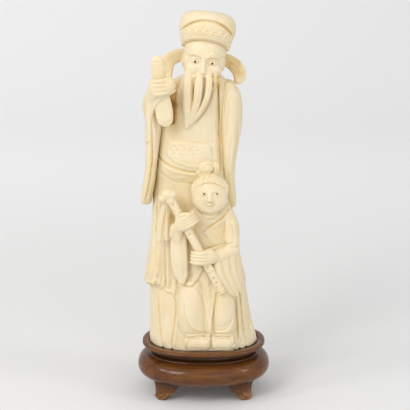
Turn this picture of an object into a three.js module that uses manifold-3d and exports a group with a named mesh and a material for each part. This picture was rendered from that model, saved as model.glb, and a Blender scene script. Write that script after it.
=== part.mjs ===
// A carved bone figure of a bearded scholar in a winged hat, with a child attendant who
// holds a flute, on an oval hardwood stand with four cabriole feet.
// Millimetres, +Z up, the figure faces -Y. The origin is on the floor, under the stand's middle.

import * as THREE from "three";
import { mergeVertices } from "three/addons/utils/BufferGeometryUtils.js";
import Module from "manifold-3d";

const wasm = await Module();
wasm.setup();

// Fits: the glue gap at each seated or pegged joint, and the play round the figure's foot.
const glueGap = 0.3;
const seatPlay = 0.5;

// Robe: its outline is set at the hem, the belt, the chest and the shoulders. Left and right
// are the viewer's.
const skirtHeight = 118.0;
const bellyHeight = 34.0;
const chestHeight = 32.0;
const shoulderRise = 7.0;
const hemHalfWidth = 37.2;
const hemFront = 25.6;
const hemBack = 24.0;
const beltLeft = 32.6;
const beltRight = 17.2;
const beltFront = 16.6;
const beltBack = 16.8;
const bellyFront = 19.0;
const chestLeft = 30.8;
const chestRight = 13.6;
const chestBack = 15.8;
const shoulderLeft = 24.6;
const shoulderRight = 17.2;
const shoulderHalfDepth = 12.4;
const foldDepth = 0.9;
const foldCount = 13;
const coatHemLevel = 44.0;
const coatLift = 4.0;
const coatReach = 50.0;
const lobeLift = 1.4;
const skirtFoldHeight = 1.4;
const skirtFoldHalfWidth = 2.4;
const hemPower = 2.25;
const neckRadius = 7.6;

// Marrow hollow of the bone block, and the plug that closes it
const marrowHalfWidth = 12.5;
const marrowHalfDepth = 9.0;
const marrowTopHalfWidth = 9.0;
const marrowTopHalfDepth = 6.4;
const marrowHeight = 126.0;
const plugThickness = 13.0;

// Stand. The plate is laid out round the figure's foot, and the rest round the plate.
const plateMarginSide = 6.0;
const plateMarginFront = 7.6;
const plateThickness = 3.8;
const plateEdgeRound = 1.1;
const seatDepth = 1.0;
const waistHeight = 6.8;
const waistInset = 6.2;
const waistHollow = 1.4;
const drumHeight = 14.6;
const drumOverhang = 3.2;
const drumShoulderInset = 8.6;
const drumUnderInset = 9.4;
const footHeight = 12.6;
const footTopWidth = 20.0;
const footTopThickness = 10.8;
const footSoleWidth = 8.6;
const footSoleThickness = 7.8;
const footInsetSide = 17.7;
const footInsetFront = 15.4;
const footSplay = 4.0;
const footTurn = 30.0;
const footFlare = 1.7;
const ovalPower = 2.35;

// Dowels and pins
const standDowelRadius = 4.0;
const standDowelSink = 7.0;
const standDowelRise = 1.6;
const footDowelRadius = 2.2;
const footDowelLength = 11.0;
const neckDowelRadius = 3.0;
const neckDowelLength = 22.0;
const pinRadius = 1.6;
const pinLength = 10.4;
const raisedPinForward = 4.0;

// Head and hat
const headHalfWidth = 13.6;
const headHalfDepth = 14.4;
const headHalfHeight = 17.2;
const headRise = 9.4;
const headForward = 3.6;
const headTilt = 7.0;
const eyeRadius = 0.95;
const eyeSpacing = 11.4;
const eyeLength = 4.0;
const noseLength = 6.4;
const noseHalfWidth = 2.4;
const earHalfHeight = 5.0;
const strandRadius = 2.2;
const strandTipRadius = 1.1;
const beardLength = 33.0;
const hatBandHalfWidth = 16.3;
const hatRimHalfWidth = 19.3;
const hatBandHeight = 8.0;
const hatCrownHeight = 8.4;
const hatTopHeight = 9.2;
const hatBandArch = 9.6;
const hatLean = 12.0;
const wingHalfWidth = 4.7;
const wingHalfThickness = 1.8;
const wingReach = 27.2;

// Raised arm: sleeve, hand and the tablet that it holds
const raisedSleeveDrop = 79.0;
const raisedSleeveOut = 39.7;
const raisedSleeveThickness = 10.6;
const raisedSleeveFront = 21.0;
const forearmRadius = 6.0;
const forearmOut = 6.3;
const forearmBack = 15.6;
const forearmDrop = 17.8;
const fistRadius = 5.4;
const fingerRadius = 1.45;
const tabletLength = 45.0;
const tabletTopWidth = 9.4;
const tabletFootWidth = 11.6;
const tabletThickness = 4.6;
const tabletLean = 7.5;
const tabletForward = 25.6;

// Lowered arm
const loweredSleeveDrop = 83.0;
const loweredSleeveOut = 26.6;
const loweredSleeveThickness = 16.6;
const loweredSleeveHalfDepth = 13.0;

// Child
const childHeight = 104.0;
const childSeatForward = 14.5;
const childBodyLeft = 17.6;
const childBodyRight = 22.6;
const childHeadHalfWidth = 11.9;
const childHeadHalfDepth = 10.4;
const childHeadHalfHeight = 12.4;
const childHeadForward = 18.4;
const childHeadSide = 4.6;
const childEyeSpacing = 8.8;
const bunHalfWidth = 7.2;
const bunHalfHeight = 5.2;
const kneeHeight = 46.0;
const kneeHalfWidth = 9.1;
const kneeHalfDepth = 7.8;
const kneeMiddle = 2.9;
const kneeSpacing = 21.8;
const shoeHeight = 12.8;
const shoeHalfWidth = 8.4;
const shoeHalfDepth = 7.2;
const shoeProud = 1.4;
const shoeMiddle = 4.7;
const shoeSpacing = 16.2;
const childHandHalfWidth = 5.0;
const childFingerRadius = 1.35;
const upperWristSide = 18.0;
const upperWristForward = 23.6;
const lowerWristSide = 13.0;
const lowerWristForward = 23.4;
const fluteRadius = 3.0;
const fluteLength = 78.0;
const fluteSlope = 62.0;
const fluteForward = 27.2;
const fluteKnobRadius = 5.4;
const fluteHoleRadius = 0.75;
const fluteHoleDepth = 1.2;
const fluteHoleStep = 8.6;
const fluteHoleCount = 4;
const fluteRise = 6.8;
const fluteSide = 23.6;
const upperGrip = 18.9;
const lowerGrip = 48.0;
const tasselLength = 24.0;

const bone = new THREE.MeshStandardMaterial({ color: 0xefdfb4, roughness: 0.42, metalness: 0 });
const boneCore = new THREE.MeshStandardMaterial({ color: 0xdcc79a, roughness: 0.6, metalness: 0 });
const rosewood = new THREE.MeshStandardMaterial({ color: 0x6a3d1f, roughness: 0.38, metalness: 0 });
const blackHorn = new THREE.MeshStandardMaterial({ color: 0x17120e, roughness: 0.25, metalness: 0 });

// Levels above the seat for the figure, and above the floor for the stand
const beltLevel = skirtHeight;
const chestLevel = beltLevel + bellyHeight;
const shoulderLevel = chestLevel + chestHeight;
const neckLevel = shoulderLevel + shoulderRise;
const drumTop = footHeight + drumHeight;
const plateBottom = drumTop + waistHeight;
const plateTop = plateBottom + plateThickness;
const seatLevel = plateTop - seatDepth;
const plateHalfWidth = hemHalfWidth + plateMarginSide;
const plateHalfDepth = hemFront + plateMarginFront;

const { MathUtils } = THREE;
const { lerp, degToRad } = MathUtils;

// Solids

function solidOf(geometry) {
  const bare = new THREE.BufferGeometry();
  bare.setAttribute("position", geometry.getAttribute("position"));
  if (geometry.index) bare.setIndex(geometry.index);
  const merged = mergeVertices(bare, 1e-4);
  const vertProperties = new Float32Array(merged.getAttribute("position").array);
  const triVerts = new Uint32Array(merged.index.array);
  return new wasm.Manifold(new wasm.Mesh({ numProp: 3, vertProperties, triVerts }));
}

function geometryOf(solid) {
  const made = solid.getMesh();
  const geometry = new THREE.BufferGeometry();
  geometry.setAttribute("position", new THREE.BufferAttribute(new Float32Array(made.vertProperties), 3));
  geometry.setIndex(new THREE.BufferAttribute(new Uint32Array(made.triVerts), 1));
  return geometry;
}

const join = (...solids) => solids.reduce((all, next) => all.add(next));
const cut = (solid, ...tools) => tools.reduce((left, tool) => left.subtract(tool), solid);

// The largest body of a cut, without the slivers that are left where two curved faces graze.
function mainBody(solid) {
  return solid.decompose().reduce((most, next) => (next.volume() > most.volume() ? next : most));
}

function turned(solid, matrix) {
  const geometry = geometryOf(solid);
  geometry.applyMatrix4(matrix);
  return solidOf(geometry);
}

// A loft through closed rings of as many points each, with both ends capped.
function loft(rings) {
  const count = rings[0].length;
  const points = rings.flat();
  const index = [];
  for (let r = 0; r + 1 < rings.length; r++) {
    for (let i = 0; i < count; i++) {
      const a = r * count + i;
      const b = r * count + ((i + 1) % count);
      index.push(a, b, b + count, a, b + count, a + count);
    }
  }
  const middle = (ring) => ring.reduce((sum, p) => sum.add(p), new THREE.Vector3()).divideScalar(count);
  const last = (rings.length - 1) * count;
  const foot = points.push(middle(rings[0])) - 1;
  const head = points.push(middle(rings[rings.length - 1])) - 1;
  for (let i = 0; i < count; i++) {
    const next = (i + 1) % count;
    index.push(foot, next, i, head, last + i, last + next);
  }
  const geometry = new THREE.BufferGeometry().setFromPoints(points);
  geometry.setIndex(index);
  return solidOf(geometry);
}

const signedPower = (value, power) => Math.sign(value) * Math.abs(value) ** power;

// A level ring that reaches left, right, front and back of the middle line. A power of 2 makes
// it an ellipse, and more makes it fuller. wave(angle, x) moves its points outward.
function levelRing({ z, left, right, front, back, power = 2.2, sides = 24, wave = () => 0 }) {
  const ring = [];
  for (let i = 0; i < sides; i++) {
    const angle = (2 * Math.PI * i) / sides;
    const x = signedPower(Math.cos(angle), 2 / power);
    const y = signedPower(Math.sin(angle), 2 / power);
    const out = wave(angle, (right - left) / 2 + (x * (right + left)) / 2);
    ring.push(
      new THREE.Vector3(
        (right - left) / 2 + x * ((right + left) / 2 + out),
        (back - front) / 2 + y * ((back + front) / 2 + out),
        z,
      ),
    );
  }
  return ring;
}

// Level rings lofted from rows of [height, left, right, front, back], each let out by grow.
function levelLoft(rows, { grow = 0, sides = 20, power = 2.2 } = {}) {
  const letOut = (row) => row.map((reach, i) => (i === 0 ? reach : reach + grow));
  const rings = rows.map(letOut).map(([z, left, right, front, back]) =>
    levelRing({ z, left, right, front, back, power, sides }),
  );
  return loft(rings);
}

// A level ring with the same reach to each side of the middle.
const evenRing = (z, halfWidth, halfDepth, { sides = 32, power = ovalPower } = {}) =>
  levelRing({ z, left: halfWidth, right: halfWidth, front: halfDepth, back: halfDepth, power, sides });

function ball([x, y, z], radii, grow = 0, sides = 10) {
  const geometry = new THREE.SphereGeometry(1, sides, Math.round(sides * 0.6));
  geometry.scale(radii[0] + grow, radii[1] + grow, radii[2] + grow);
  geometry.translate(x, y, z);
  return solidOf(geometry);
}

// A limb through stations of [x, y, z, half width, half thickness]. Its width lies square to
// the way it faces.
function limb(stations, { grow = 0, sides = 8, steps = 2, facing = [0, -1, 0] } = {}) {
  const path = new THREE.CatmullRomCurve3(stations.map(([x, y, z]) => new THREE.Vector3(x, y, z)));
  const front = new THREE.Vector3(...facing).normalize();
  const total = (stations.length - 1) * steps;
  const rings = [];
  for (let s = 0; s <= total; s++) {
    const before = Math.min(Math.floor(s / steps), stations.length - 2);
    const part = s / steps - before;
    const along = path.getTangent(s / total);
    const side = new THREE.Vector3().crossVectors(front, along).normalize();
    const out = new THREE.Vector3().crossVectors(along, side).normalize();
    const halfWidth = lerp(stations[before][3], stations[before + 1][3], part) + grow;
    const halfThickness = lerp(stations[before][4], stations[before + 1][4], part) + grow;
    const centre = path.getPoint(s / total);
    if (s === 0) centre.addScaledVector(along, -grow);
    if (s === total) centre.addScaledVector(along, grow);
    const ring = [];
    for (let i = 0; i < sides; i++) {
      const angle = (2 * Math.PI * i) / sides;
      const point = centre.clone().addScaledVector(out, Math.cos(angle) * halfThickness);
      ring.push(point.addScaledVector(side, -Math.sin(angle) * halfWidth));
    }
    rings.push(ring);
  }
  const made = loft(rings);
  return made.volume() > 0 ? made : loft(rings.reverse());
}

// A round rod between two points.
function rod(from, to, radius, grow = 0, sides = 12) {
  const start = new THREE.Vector3(...from);
  const end = new THREE.Vector3(...to);
  const along = end.clone().sub(start);
  const length = along.length() + 2 * grow;
  const geometry = new THREE.CylinderGeometry(radius + grow, radius + grow, length, sides);
  const up = new THREE.Vector3(0, 1, 0);
  geometry.applyQuaternion(new THREE.Quaternion().setFromUnitVectors(up, along.normalize()));
  geometry.translate(...start.add(end).multiplyScalar(0.5));
  return solidOf(geometry);
}

// Stand

function plateSolid(...cuts) {
  const edge = (share, inset) =>
    evenRing(plateBottom + share * plateThickness, plateHalfWidth - inset, plateHalfDepth - inset);
  const board = loft([
    edge(0, plateEdgeRound * 1.4),
    edge(0.24, plateEdgeRound * 0.3),
    edge(0.46, 0),
    edge(0.82, plateEdgeRound * 0.25),
    edge(1, plateEdgeRound),
  ]);
  return cut(board, ...cuts);
}

function waistSolid(...cuts) {
  const steps = 4;
  const rings = [];
  for (let i = 0; i <= steps; i++) {
    const inset = waistInset + waistHollow * Math.sin((Math.PI * i) / steps);
    const level = drumTop + (i / steps) * waistHeight;
    rings.push(evenRing(level, plateHalfWidth - inset, plateHalfDepth - inset));
  }
  return cut(loft(rings), ...cuts);
}

function drumSolid(...cuts) {
  const steps = 8;
  const widest = footHeight + drumHeight * 0.52;
  const rings = [];
  for (let i = 0; i <= steps; i++) {
    const angle = lerp(-Math.PI / 2, Math.PI / 2, i / steps);
    const reach = angle < 0 ? widest - footHeight : drumTop - widest;
    const endInset = angle < 0 ? drumUnderInset : drumShoulderInset;
    const inset = endInset * (1 - Math.cos(angle)) - drumOverhang;
    const level = widest + reach * Math.sin(angle);
    rings.push(evenRing(level, plateHalfWidth - inset, plateHalfDepth - inset));
  }
  return cut(loft(rings), ...cuts);
}

// The point of the drum's underside that a foot is set on, with its side and front signs.
const footTopX = plateHalfWidth - footInsetSide;
const footTopY = plateHalfDepth - footInsetFront;

// One cabriole foot, broad under the drum and narrow at the sole, which stands further out.
function footSolid(sideX, sideY, dowel) {
  const steps = 6;
  const rings = [];
  for (let i = 0; i <= steps; i++) {
    const share = i / steps;
    const toe = 1 - 0.3 * (1 - share) ** 8;
    const halfWidth = (toe * lerp(footSoleWidth, footTopWidth, share ** footFlare)) / 2;
    const halfThickness = (toe * lerp(footSoleThickness, footTopThickness, share)) / 2;
    const out = footSplay * (1 - share) ** 0.9;
    const shift = new THREE.Vector3(sideX * (footTopX + out), sideY * (footTopY + out * 0.6), 0);
    const ring = evenRing(share * footHeight, halfWidth, halfThickness, { sides: 16 });
    const turn = -sideX * sideY * degToRad(footTurn);
    rings.push(ring.map((p) => p.applyAxisAngle(new THREE.Vector3(0, 0, 1), turn).add(shift)));
  }
  return cut(loft(rings), dowel);
}

// Robe

// Rows of [height, left, right, front, back] from the hem to the neck.
function robeRows() {
  const mid = (a, b, share = 0.5) => lerp(a, b, share);
  const skirtHollow = 2.0;
  const hemLip = 0.4;
  const coat = (z) =>
    z < coatHemLevel ? 0 : coatLift * Math.max(0, 1 - (z - coatHemLevel) / coatReach) ** 1.3;
  const skirt = [0, 0.04, 0.14, 0.27, 0.31, 0.335, 0.36, 0.38, 0.5, 0.62, 0.75, 0.88].map((share) => [
    share * skirtHeight,
    lerp(hemHalfWidth, beltLeft, share ** 2.4) + (share === 0.04 ? hemLip : coat(share * skirtHeight)),
    lerp(hemHalfWidth, beltRight, share ** 0.75) + (share === 0.04 ? hemLip : 0),
    lerp(hemFront, beltFront, share ** 0.7) - skirtHollow * Math.sin(Math.PI * share),
    lerp(hemBack, beltBack, share ** 0.8),
  ]);
  const belt = [beltLevel, beltLeft, beltRight, beltFront, beltBack];
  const bellyLevel = beltLevel + bellyHeight * 0.24;
  const belly = [bellyLevel, beltLeft, mid(beltRight, chestRight), bellyFront, beltBack];
  const chestFront = mid(bellyFront, shoulderHalfDepth, 0.25);
  const chest = [chestLevel, chestLeft, chestRight, chestFront, chestBack];
  const shoulder = [shoulderLevel, shoulderLeft, shoulderRight, shoulderHalfDepth, shoulderHalfDepth];
  const neck = [neckLevel, neckRadius + 1.6, neckRadius + 1.2, neckRadius, neckRadius];
  const between = (low, high, share, fuller = 0) =>
    low.map((value, i) => lerp(value, high[i], share) + (i === 0 ? 0 : fuller));
  return [
    ...skirt,
    belt,
    belly,
    between(belly, chest, 0.5, 0.4),
    chest,
    between(chest, shoulder, 0.42, 1),
    between(chest, shoulder, 0.8, 1.2),
    shoulder,
    between(shoulder, neck, 0.55, 1.4),
    neck,
  ];
}

// The row of the robe at a height, by lerp between the rows below and above.
function robeAt(z) {
  const rows = robeRows();
  const above = rows.findIndex((row) => row[0] > z);
  const [low, high] = [rows[above - 1], rows[above]];
  const share = (z - low[0]) / (high[0] - low[0]);
  return low.map((value, i) => lerp(value, high[i], share));
}

// The skirt's folds in front, in shares of the hem's half width and of the skirt's height:
// [x at the top, x at the foot, top level, foot level].
const skirtFolds = [
  [-0.8, -0.82, 0.95, 0.44],
  [-0.68, -0.65, 0.92, 0.36],
  [-0.8, -0.72, 0.33, -0.1],
  [-0.5, -0.56, 0.34, -0.1],
  [0.62, 0.71, 0.32, -0.1],
  [0.74, 0.88, 0.34, -0.1],
];

// Behind, the folds are even waves that are deepest at the hem and fade out at the belt. In
// front they are single ridges, and the coat's hem stands out in two lobes on the viewer's left.
const foldWave = (z, angle, x) => {
  const behind = MathUtils.smoothstep(Math.sin(angle), -0.4, 0.15);
  const ahead = 1 - MathUtils.smoothstep(Math.sin(angle), -0.5, -0.2);
  const fade = Math.max(0, 1 - z / beltLevel);
  const minorFolds = Math.round(foldCount * 1.6);
  const waves = Math.cos(foldCount * angle + 0.6) + 0.6 * Math.cos(minorFolds * angle + 1.9);
  let out = behind * foldDepth * fade * waves;
  for (const [topX, footX, top, foot] of skirtFolds) {
    const share = (top - z / skirtHeight) / (top - foot);
    const middle = hemHalfWidth * lerp(topX, footX, share);
    const along = MathUtils.smoothstep(share, 0, 0.15) * (1 - MathUtils.smoothstep(share, 0.9, 1));
    const across = Math.exp(-(((x - middle) / skirtFoldHalfWidth) ** 2));
    out += ahead * skirtFoldHeight * along * across;
  }
  const outerLobe = x < -hemHalfWidth * 0.86 && z > coatHemLevel;
  const innerLobe = x >= -hemHalfWidth * 0.86 && x < -hemHalfWidth * 0.49 && z > coatHemLevel * 0.88;
  const lobe = outerLobe || innerLobe ? 1 - MathUtils.smoothstep(z, beltLevel * 0.5, beltLevel * 0.7) : 0;
  return out + ahead * lobeLift * lobe;
};

function robeShape(grow = 0) {
  const rings = robeRows().map(([z, left, right, front, back]) =>
    levelRing({
      z,
      left: left + grow,
      right: right + grow,
      front: front + grow,
      back: back + grow,
      power: hemPower,
      sides: 84,
      wave: (angle, x) => foldWave(z, angle, x),
    }),
  );
  rings[rings.length - 1].forEach((p) => (p.z += grow));
  return loft(rings);
}

// The marrow hollow leans with the robe's middle line and narrows upward.
function marrowShape() {
  const ring = (z, share) => {
    const [, left, right, front, back] = robeAt(z);
    const halfWidth = lerp(marrowHalfWidth, marrowTopHalfWidth, share);
    const halfDepth = lerp(marrowHalfDepth, marrowTopHalfDepth, share);
    return evenRing(z, halfWidth, halfDepth, { sides: 16, power: 2 }).map((p) =>
      p.add(new THREE.Vector3(share * ((right - left) / 2), share * ((back - front) / 2), 0)),
    );
  };
  const mouth = ring(0, 0).map((p) => p.setZ(-1));
  return loft([mouth, ring(plugThickness, 0), ring(marrowHeight * 0.55, 0.6), ring(marrowHeight, 1)]);
}

function plugShape() {
  const size = [marrowHalfWidth - glueGap, marrowHalfDepth - glueGap, { sides: 16, power: 2 }];
  return loft([evenRing(0, ...size), evenRing(plugThickness - glueGap, ...size)]);
}

// Lowered arm, on the viewer's right: one long closed sleeve from the shoulder to its tip.
// Rows are [share of the drop, outer side, inner side, half depth] in shares of its sizes.
function loweredSleeveShape(grow = 0) {
  const rows = [
    [1, 0.82, 0.28, 0.24],
    [0.96, 0.84, 0.4, 0.5],
    [0.84, 0.8, 0.48, 0.72],
    [0.68, 0.8, 0.58, 0.9],
    [0.52, 0.88, 0.76, 1],
    [0.36, 0.98, 0.98, 1.04],
    [0.2, 1, 1.04, 1],
    [0.08, 0.94, 0.9, 0.86],
    [0, 0.72, 0.42, 0.54],
  ].map(([share, outer, thickness, halfDepth]) => {
    const outerX = outer * loweredSleeveOut;
    const depth = halfDepth * loweredSleeveHalfDepth;
    const level = shoulderLevel + 1 - share * loweredSleeveDrop;
    return [level, thickness * loweredSleeveThickness - outerX, outerX, depth + share, depth - share];
  });
  return levelLoft(rows, { grow });
}

// Raised arm, on the viewer's left: a hanging sleeve, and the forearm that rises out of it.
const gripPoint = new THREE.Vector3(11.5 - raisedSleeveOut, -tabletForward, shoulderLevel + 1.8);

function raisedSleeveShape(grow = 0) {
  const rows = [
    [1, 1.08, 0.42, 0.38, -1],
    [0.95, 1.09, 0.73, 0.52, 2],
    [0.8, 1.04, 0.79, 0.71, 4.6],
    [0.6, 1, 0.83, 0.86, 6.4],
    [0.4, 1, 1, 0.98, 7.8],
    [0.2, 0.99, 1.13, 1.07, 8.4],
    [0.06, 0.97, 1.11, 1, 8],
    [0, 0.88, 0.76, 0.76, 6],
  ].map(([share, outer, thickness, front, back]) => {
    const outerX = outer * raisedSleeveOut;
    const level = shoulderLevel - 4 - share * raisedSleeveDrop;
    return [level, outerX, thickness * raisedSleeveThickness - outerX, front * raisedSleeveFront, back];
  });
  const { x, y, z } = gripPoint;
  const forearm = limb(
    [
      [1, 1, 1, 1.04],
      [0.67, 0.42, 0.61, 0.97],
      [0.1, 0.06, 0.26, 0.87],
    ].map(([out, back, drop, girth]) => {
      const at = [x - out * forearmOut, y + back * forearmBack, z - drop * forearmDrop];
      return [...at, forearmRadius * girth, forearmRadius * girth];
    }),
    { grow, facing: [1, 0, 0] },
  );
  return join(levelLoft(rows, { grow }), forearm);
}

// The tablet is held by its upper half and leans with the arm.
const tabletLeanAngle = degToRad(tabletLean);
const tabletAlong = new THREE.Vector3(-Math.sin(tabletLeanAngle), 0, Math.cos(tabletLeanAngle));
const gripShare = 0.43;
const tabletPoint = (share) =>
  gripPoint.clone().addScaledVector(tabletAlong, (gripShare - share) * tabletLength);

function tabletShape(grow = 0) {
  const stations = [
    [0, tabletTopWidth * 0.42, 0.6],
    [0.07, tabletTopWidth * 0.9, 0.9],
    [0.2, tabletTopWidth, 1],
    [0.42, tabletTopWidth * 0.84, 1],
    [0.6, tabletFootWidth * 0.9, 1],
    [0.8, tabletFootWidth, 1],
    [0.94, tabletFootWidth * 0.86, 0.9],
    [1, tabletFootWidth * 0.5, 0.6],
  ].map(([share, width, thickness]) => [
    ...tabletPoint(share).toArray(),
    width / 2,
    (thickness * tabletThickness) / 2,
  ]);
  return limb(stations, { grow, steps: 1, sides: 12 });
}

// A fist round a bar: a palm behind it, and four fingers that curl over its front towards
// one side of it. A reach of -1 turns it to the other side.
function fistShape(centre, along, { grow = 0, size = 1, reach = 1, barHalfWidth, barHalfThickness }) {
  const fingers = 4;
  const out = new THREE.Vector3(0, -1, 0);
  const side = new THREE.Vector3().crossVectors(out, along).normalize().multiplyScalar(reach);
  const spot = (middle, across, ahead) => {
    const aside = middle.clone().addScaledVector(side, across * barHalfWidth);
    return aside.addScaledVector(out, ahead * barHalfThickness);
  };
  const palmRadii = [fistRadius * size, fistRadius * size * 0.86, fistRadius * size * 1.06];
  const curls = [];
  for (let f = 0; f < fingers; f++) {
    const radius = fingerRadius * size;
    const level = centre.clone().addScaledVector(along, (f - (fingers - 1) / 2) * radius * 1.75);
    const joints = [
      [-1.05, 0.6],
      [-0.2, 1.5],
      [0.75, 1.4],
      [1.25, 0.35],
    ];
    const stations = joints.map((joint) => [...spot(level, ...joint).toArray(), radius, radius]);
    curls.push(limb(stations, { grow, sides: 6, steps: 1, facing: along.toArray() }));
  }
  return join(ball(spot(centre, -0.5, -0.3).toArray(), palmRadii, grow, 8), ...curls);
}

function raisedHandShape(grow = 0) {
  const fist = fistShape(gripPoint, tabletAlong, {
    grow,
    barHalfWidth: tabletTopWidth * 0.46,
    barHalfThickness: tabletThickness * 0.62,
  });
  const { x, y, z } = gripPoint;
  const wrist = limb(
    [
      [x - 3.4, y + 5, z - 8.8, forearmRadius * 0.53, forearmRadius * 0.53],
      [x - 1.2, y + 2, z - 2.8, forearmRadius * 0.6, forearmRadius * 0.6],
      [x, y, z, forearmRadius * 0.63, forearmRadius * 0.63],
    ],
    { grow, facing: [1, 0, 0] },
  );
  return join(fist, wrist);
}

// Head. It is shaped upright about its own middle and then tilted about the neck.
const neckTop = [-1, 0, neckLevel];
const headMiddle = new THREE.Vector3(0, -headForward, headRise);
const headPose = new THREE.Matrix4()
  .makeTranslation(...neckTop)
  .multiply(new THREE.Matrix4().makeRotationY(degToRad(headTilt)));

// A point in the head by shares of its half width, half depth and half height.
const inHead = (x, y, z) => [
  headMiddle.x + x * headHalfWidth,
  headMiddle.y + y * headHalfDepth,
  headMiddle.z + z * headHalfHeight,
];

function skullShape(grow = 0) {
  const cranium = ball(inHead(0, 0, 0), [headHalfWidth, headHalfDepth, headHalfHeight], grow, 14);
  const jawRadii = [headHalfWidth * 0.8, headHalfDepth * 0.8, headHalfHeight * 0.5];
  return join(cranium, ball(inHead(0, -0.22, -0.42), jawRadii, grow, 10));
}

function faceShape(grow = 0) {
  const nose = limb(
    [
      [...inHead(0, -0.9, 0.1), noseHalfWidth * 0.5, noseHalfWidth * 0.6],
      [...inHead(0, -1.03, 0.1 - noseLength / headHalfHeight), noseHalfWidth, noseHalfWidth * 0.7],
    ],
    { grow, sides: 6 },
  );
  const earRadii = [earHalfHeight * 0.3, earHalfHeight * 0.5, earHalfHeight];
  const ears = [-1, 1].map((side) => ball(inHead(side * 0.98, 0.1, -0.12), earRadii, grow, 8));
  return join(nose, ...ears);
}

// The beard's three strands hang from a fuller root and meet in one tip on the chest.
function beardShape(grow = 0) {
  const rootLevel = neckLevel + 2.5;
  const tipLevel = neckLevel - beardLength;
  const chinForward = headForward + headHalfDepth * 0.9;
  const tipForward = robeAt(tipLevel)[3] + strandTipRadius * 0.5;
  const strand = (startX, bendX, bendShare, halfWidth) => {
    const bendLevel = lerp(rootLevel, tipLevel, bendShare);
    return limb(
      [
        [startX, -chinForward, rootLevel, halfWidth, strandRadius],
        [startX - 0.6, -chinForward - 1.8, rootLevel - beardLength * 0.3, halfWidth, strandRadius],
        [bendX, -chinForward - 1.6, bendLevel, halfWidth * 0.8, strandRadius * 0.8],
        [-8.6, -tipForward, tipLevel, strandTipRadius, strandTipRadius],
      ],
      { grow },
    );
  };
  return join(
    strand(-8.6, -8.8, 0.66, strandRadius * 1.2),
    strand(-1.8, -5.2, 0.68, strandRadius * 1.3),
    strand(3.6, -1.6, 0.6, strandRadius * 0.8),
    ball([-2.6, -chinForward + 3.2, rootLevel + 0.4], [9.4, 6, 5.4], grow),
  );
}

const neckShape = () => rod([-1, 0, neckLevel], [-1, -1, neckLevel + headRise], neckRadius, 0, 16);

const eyeInlay = ({ x, y, z }, grow = 0) =>
  rod([x, y - eyeLength * 0.3, z], [x, y + eyeLength * 0.7, z], eyeRadius, grow, 10);

const scholarEyes = [-1, 1].map((side) =>
  new THREE.Vector3(...inHead((side * eyeSpacing) / 2 / headHalfWidth, -0.9, 0)).applyMatrix4(headPose),
);

// Hat: a band that rises over the brow and falls to the nape, a crown that flares to a rolled
// rim, and a domed top.
const hatFoot = headHalfHeight * 0.36;
const hatBackDrop = 6.0;
const hatPose = headPose
  .clone()
  .multiply(new THREE.Matrix4().makeTranslation(headMiddle.x, headMiddle.y, headMiddle.z + hatFoot))
  .multiply(new THREE.Matrix4().makeRotationX(degToRad(-hatLean)));

function hatShape(grow = 0) {
  const crownTop = hatBandHeight + hatCrownHeight;
  const hatHeight = crownTop + hatTopHeight;
  const section = (z, halfWidth) => {
    const reach = halfWidth + grow;
    const fade = 1 - z / hatHeight;
    return evenRing(z, reach, reach * 0.96, { sides: 24, power: 2.1 }).map((p) => {
      const ahead = -p.y / reach;
      p.z += fade * (ahead > 0 ? hatBandArch * ahead ** 1.6 : -hatBackDrop * ahead ** 2);
      return p;
    });
  };
  const rings = [
    section(-grow, hatBandHalfWidth),
    section(hatBandHeight * 0.6, hatBandHalfWidth + 0.3),
    section(hatBandHeight, hatBandHalfWidth + 0.8),
    section(hatBandHeight + hatCrownHeight * 0.5, lerp(hatBandHalfWidth, hatRimHalfWidth, 0.65)),
    section(crownTop, hatRimHalfWidth),
    section(crownTop + hatTopHeight * 0.4, hatRimHalfWidth * 0.98),
    section(crownTop + hatTopHeight * 0.75, hatRimHalfWidth * 0.8),
    section(hatHeight + grow, hatRimHalfWidth * 0.34),
  ];
  return turned(loft(rings), hatPose);
}

// Wings of the hat: flat ribbons that leave its back edge, curve out and come down to the
// shoulders. Their stations are [x and width in shares, y, rise over the neck].
function wingShape(side, grow = 0) {
  const stations =
    side < 0
      ? [
          [-0.3, 9.6, 11.4, 0.66],
          [-0.54, 8.8, 10.6, 0.84],
          [-0.77, 7.6, 8.6, 1],
          [-0.94, 6.4, 5, 1],
          [-1, 5.4, -0.2, 0.9],
          [-0.98, 4.6, -4.4, 0.5],
        ]
      : [
          [0.34, 9.6, 8.8, 0.66],
          [0.54, 8.8, 7, 0.84],
          [0.75, 7.6, 3.6, 1],
          [0.88, 6.4, -1.4, 1],
          [0.89, 5.4, -6.6, 0.85],
          [0.84, 4.6, -10.2, 0.4],
        ];
  return limb(
    stations.map(([x, y, rise, width]) => [
      x * wingReach,
      y,
      neckLevel + rise,
      wingHalfWidth * width,
      wingHalfThickness,
    ]),
    { grow, sides: 10, steps: 2 },
  );
}

// Child. Its trunk is one block with a flat back, which is let into the front of the robe.
function childTrunkShape(grow = 0) {
  const rows = [
    [0, 0.82, 0.9, 0.84],
    [0.12, 0.88, 0.92, 0.84],
    [0.3, 0.97, 0.96, 0.85],
    [0.46, 0.93, 0.98, 0.85],
    [0.6, 0.83, 0.97, 0.85],
    [0.76, 0.73, 0.93, 0.82],
    [0.88, 0.6, 0.86, 0.77],
    [0.94, 0.45, 0.78, 0.72],
    [0.99, 0.18, 0.55, 0.64],
  ].map(([share, left, right, front]) => [
    share * childHeight,
    left * childBodyLeft,
    right * childBodyRight,
    front * hemFront,
    -childSeatForward,
  ]);
  return levelLoft(rows, { grow, power: 2.8 });
}

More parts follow.
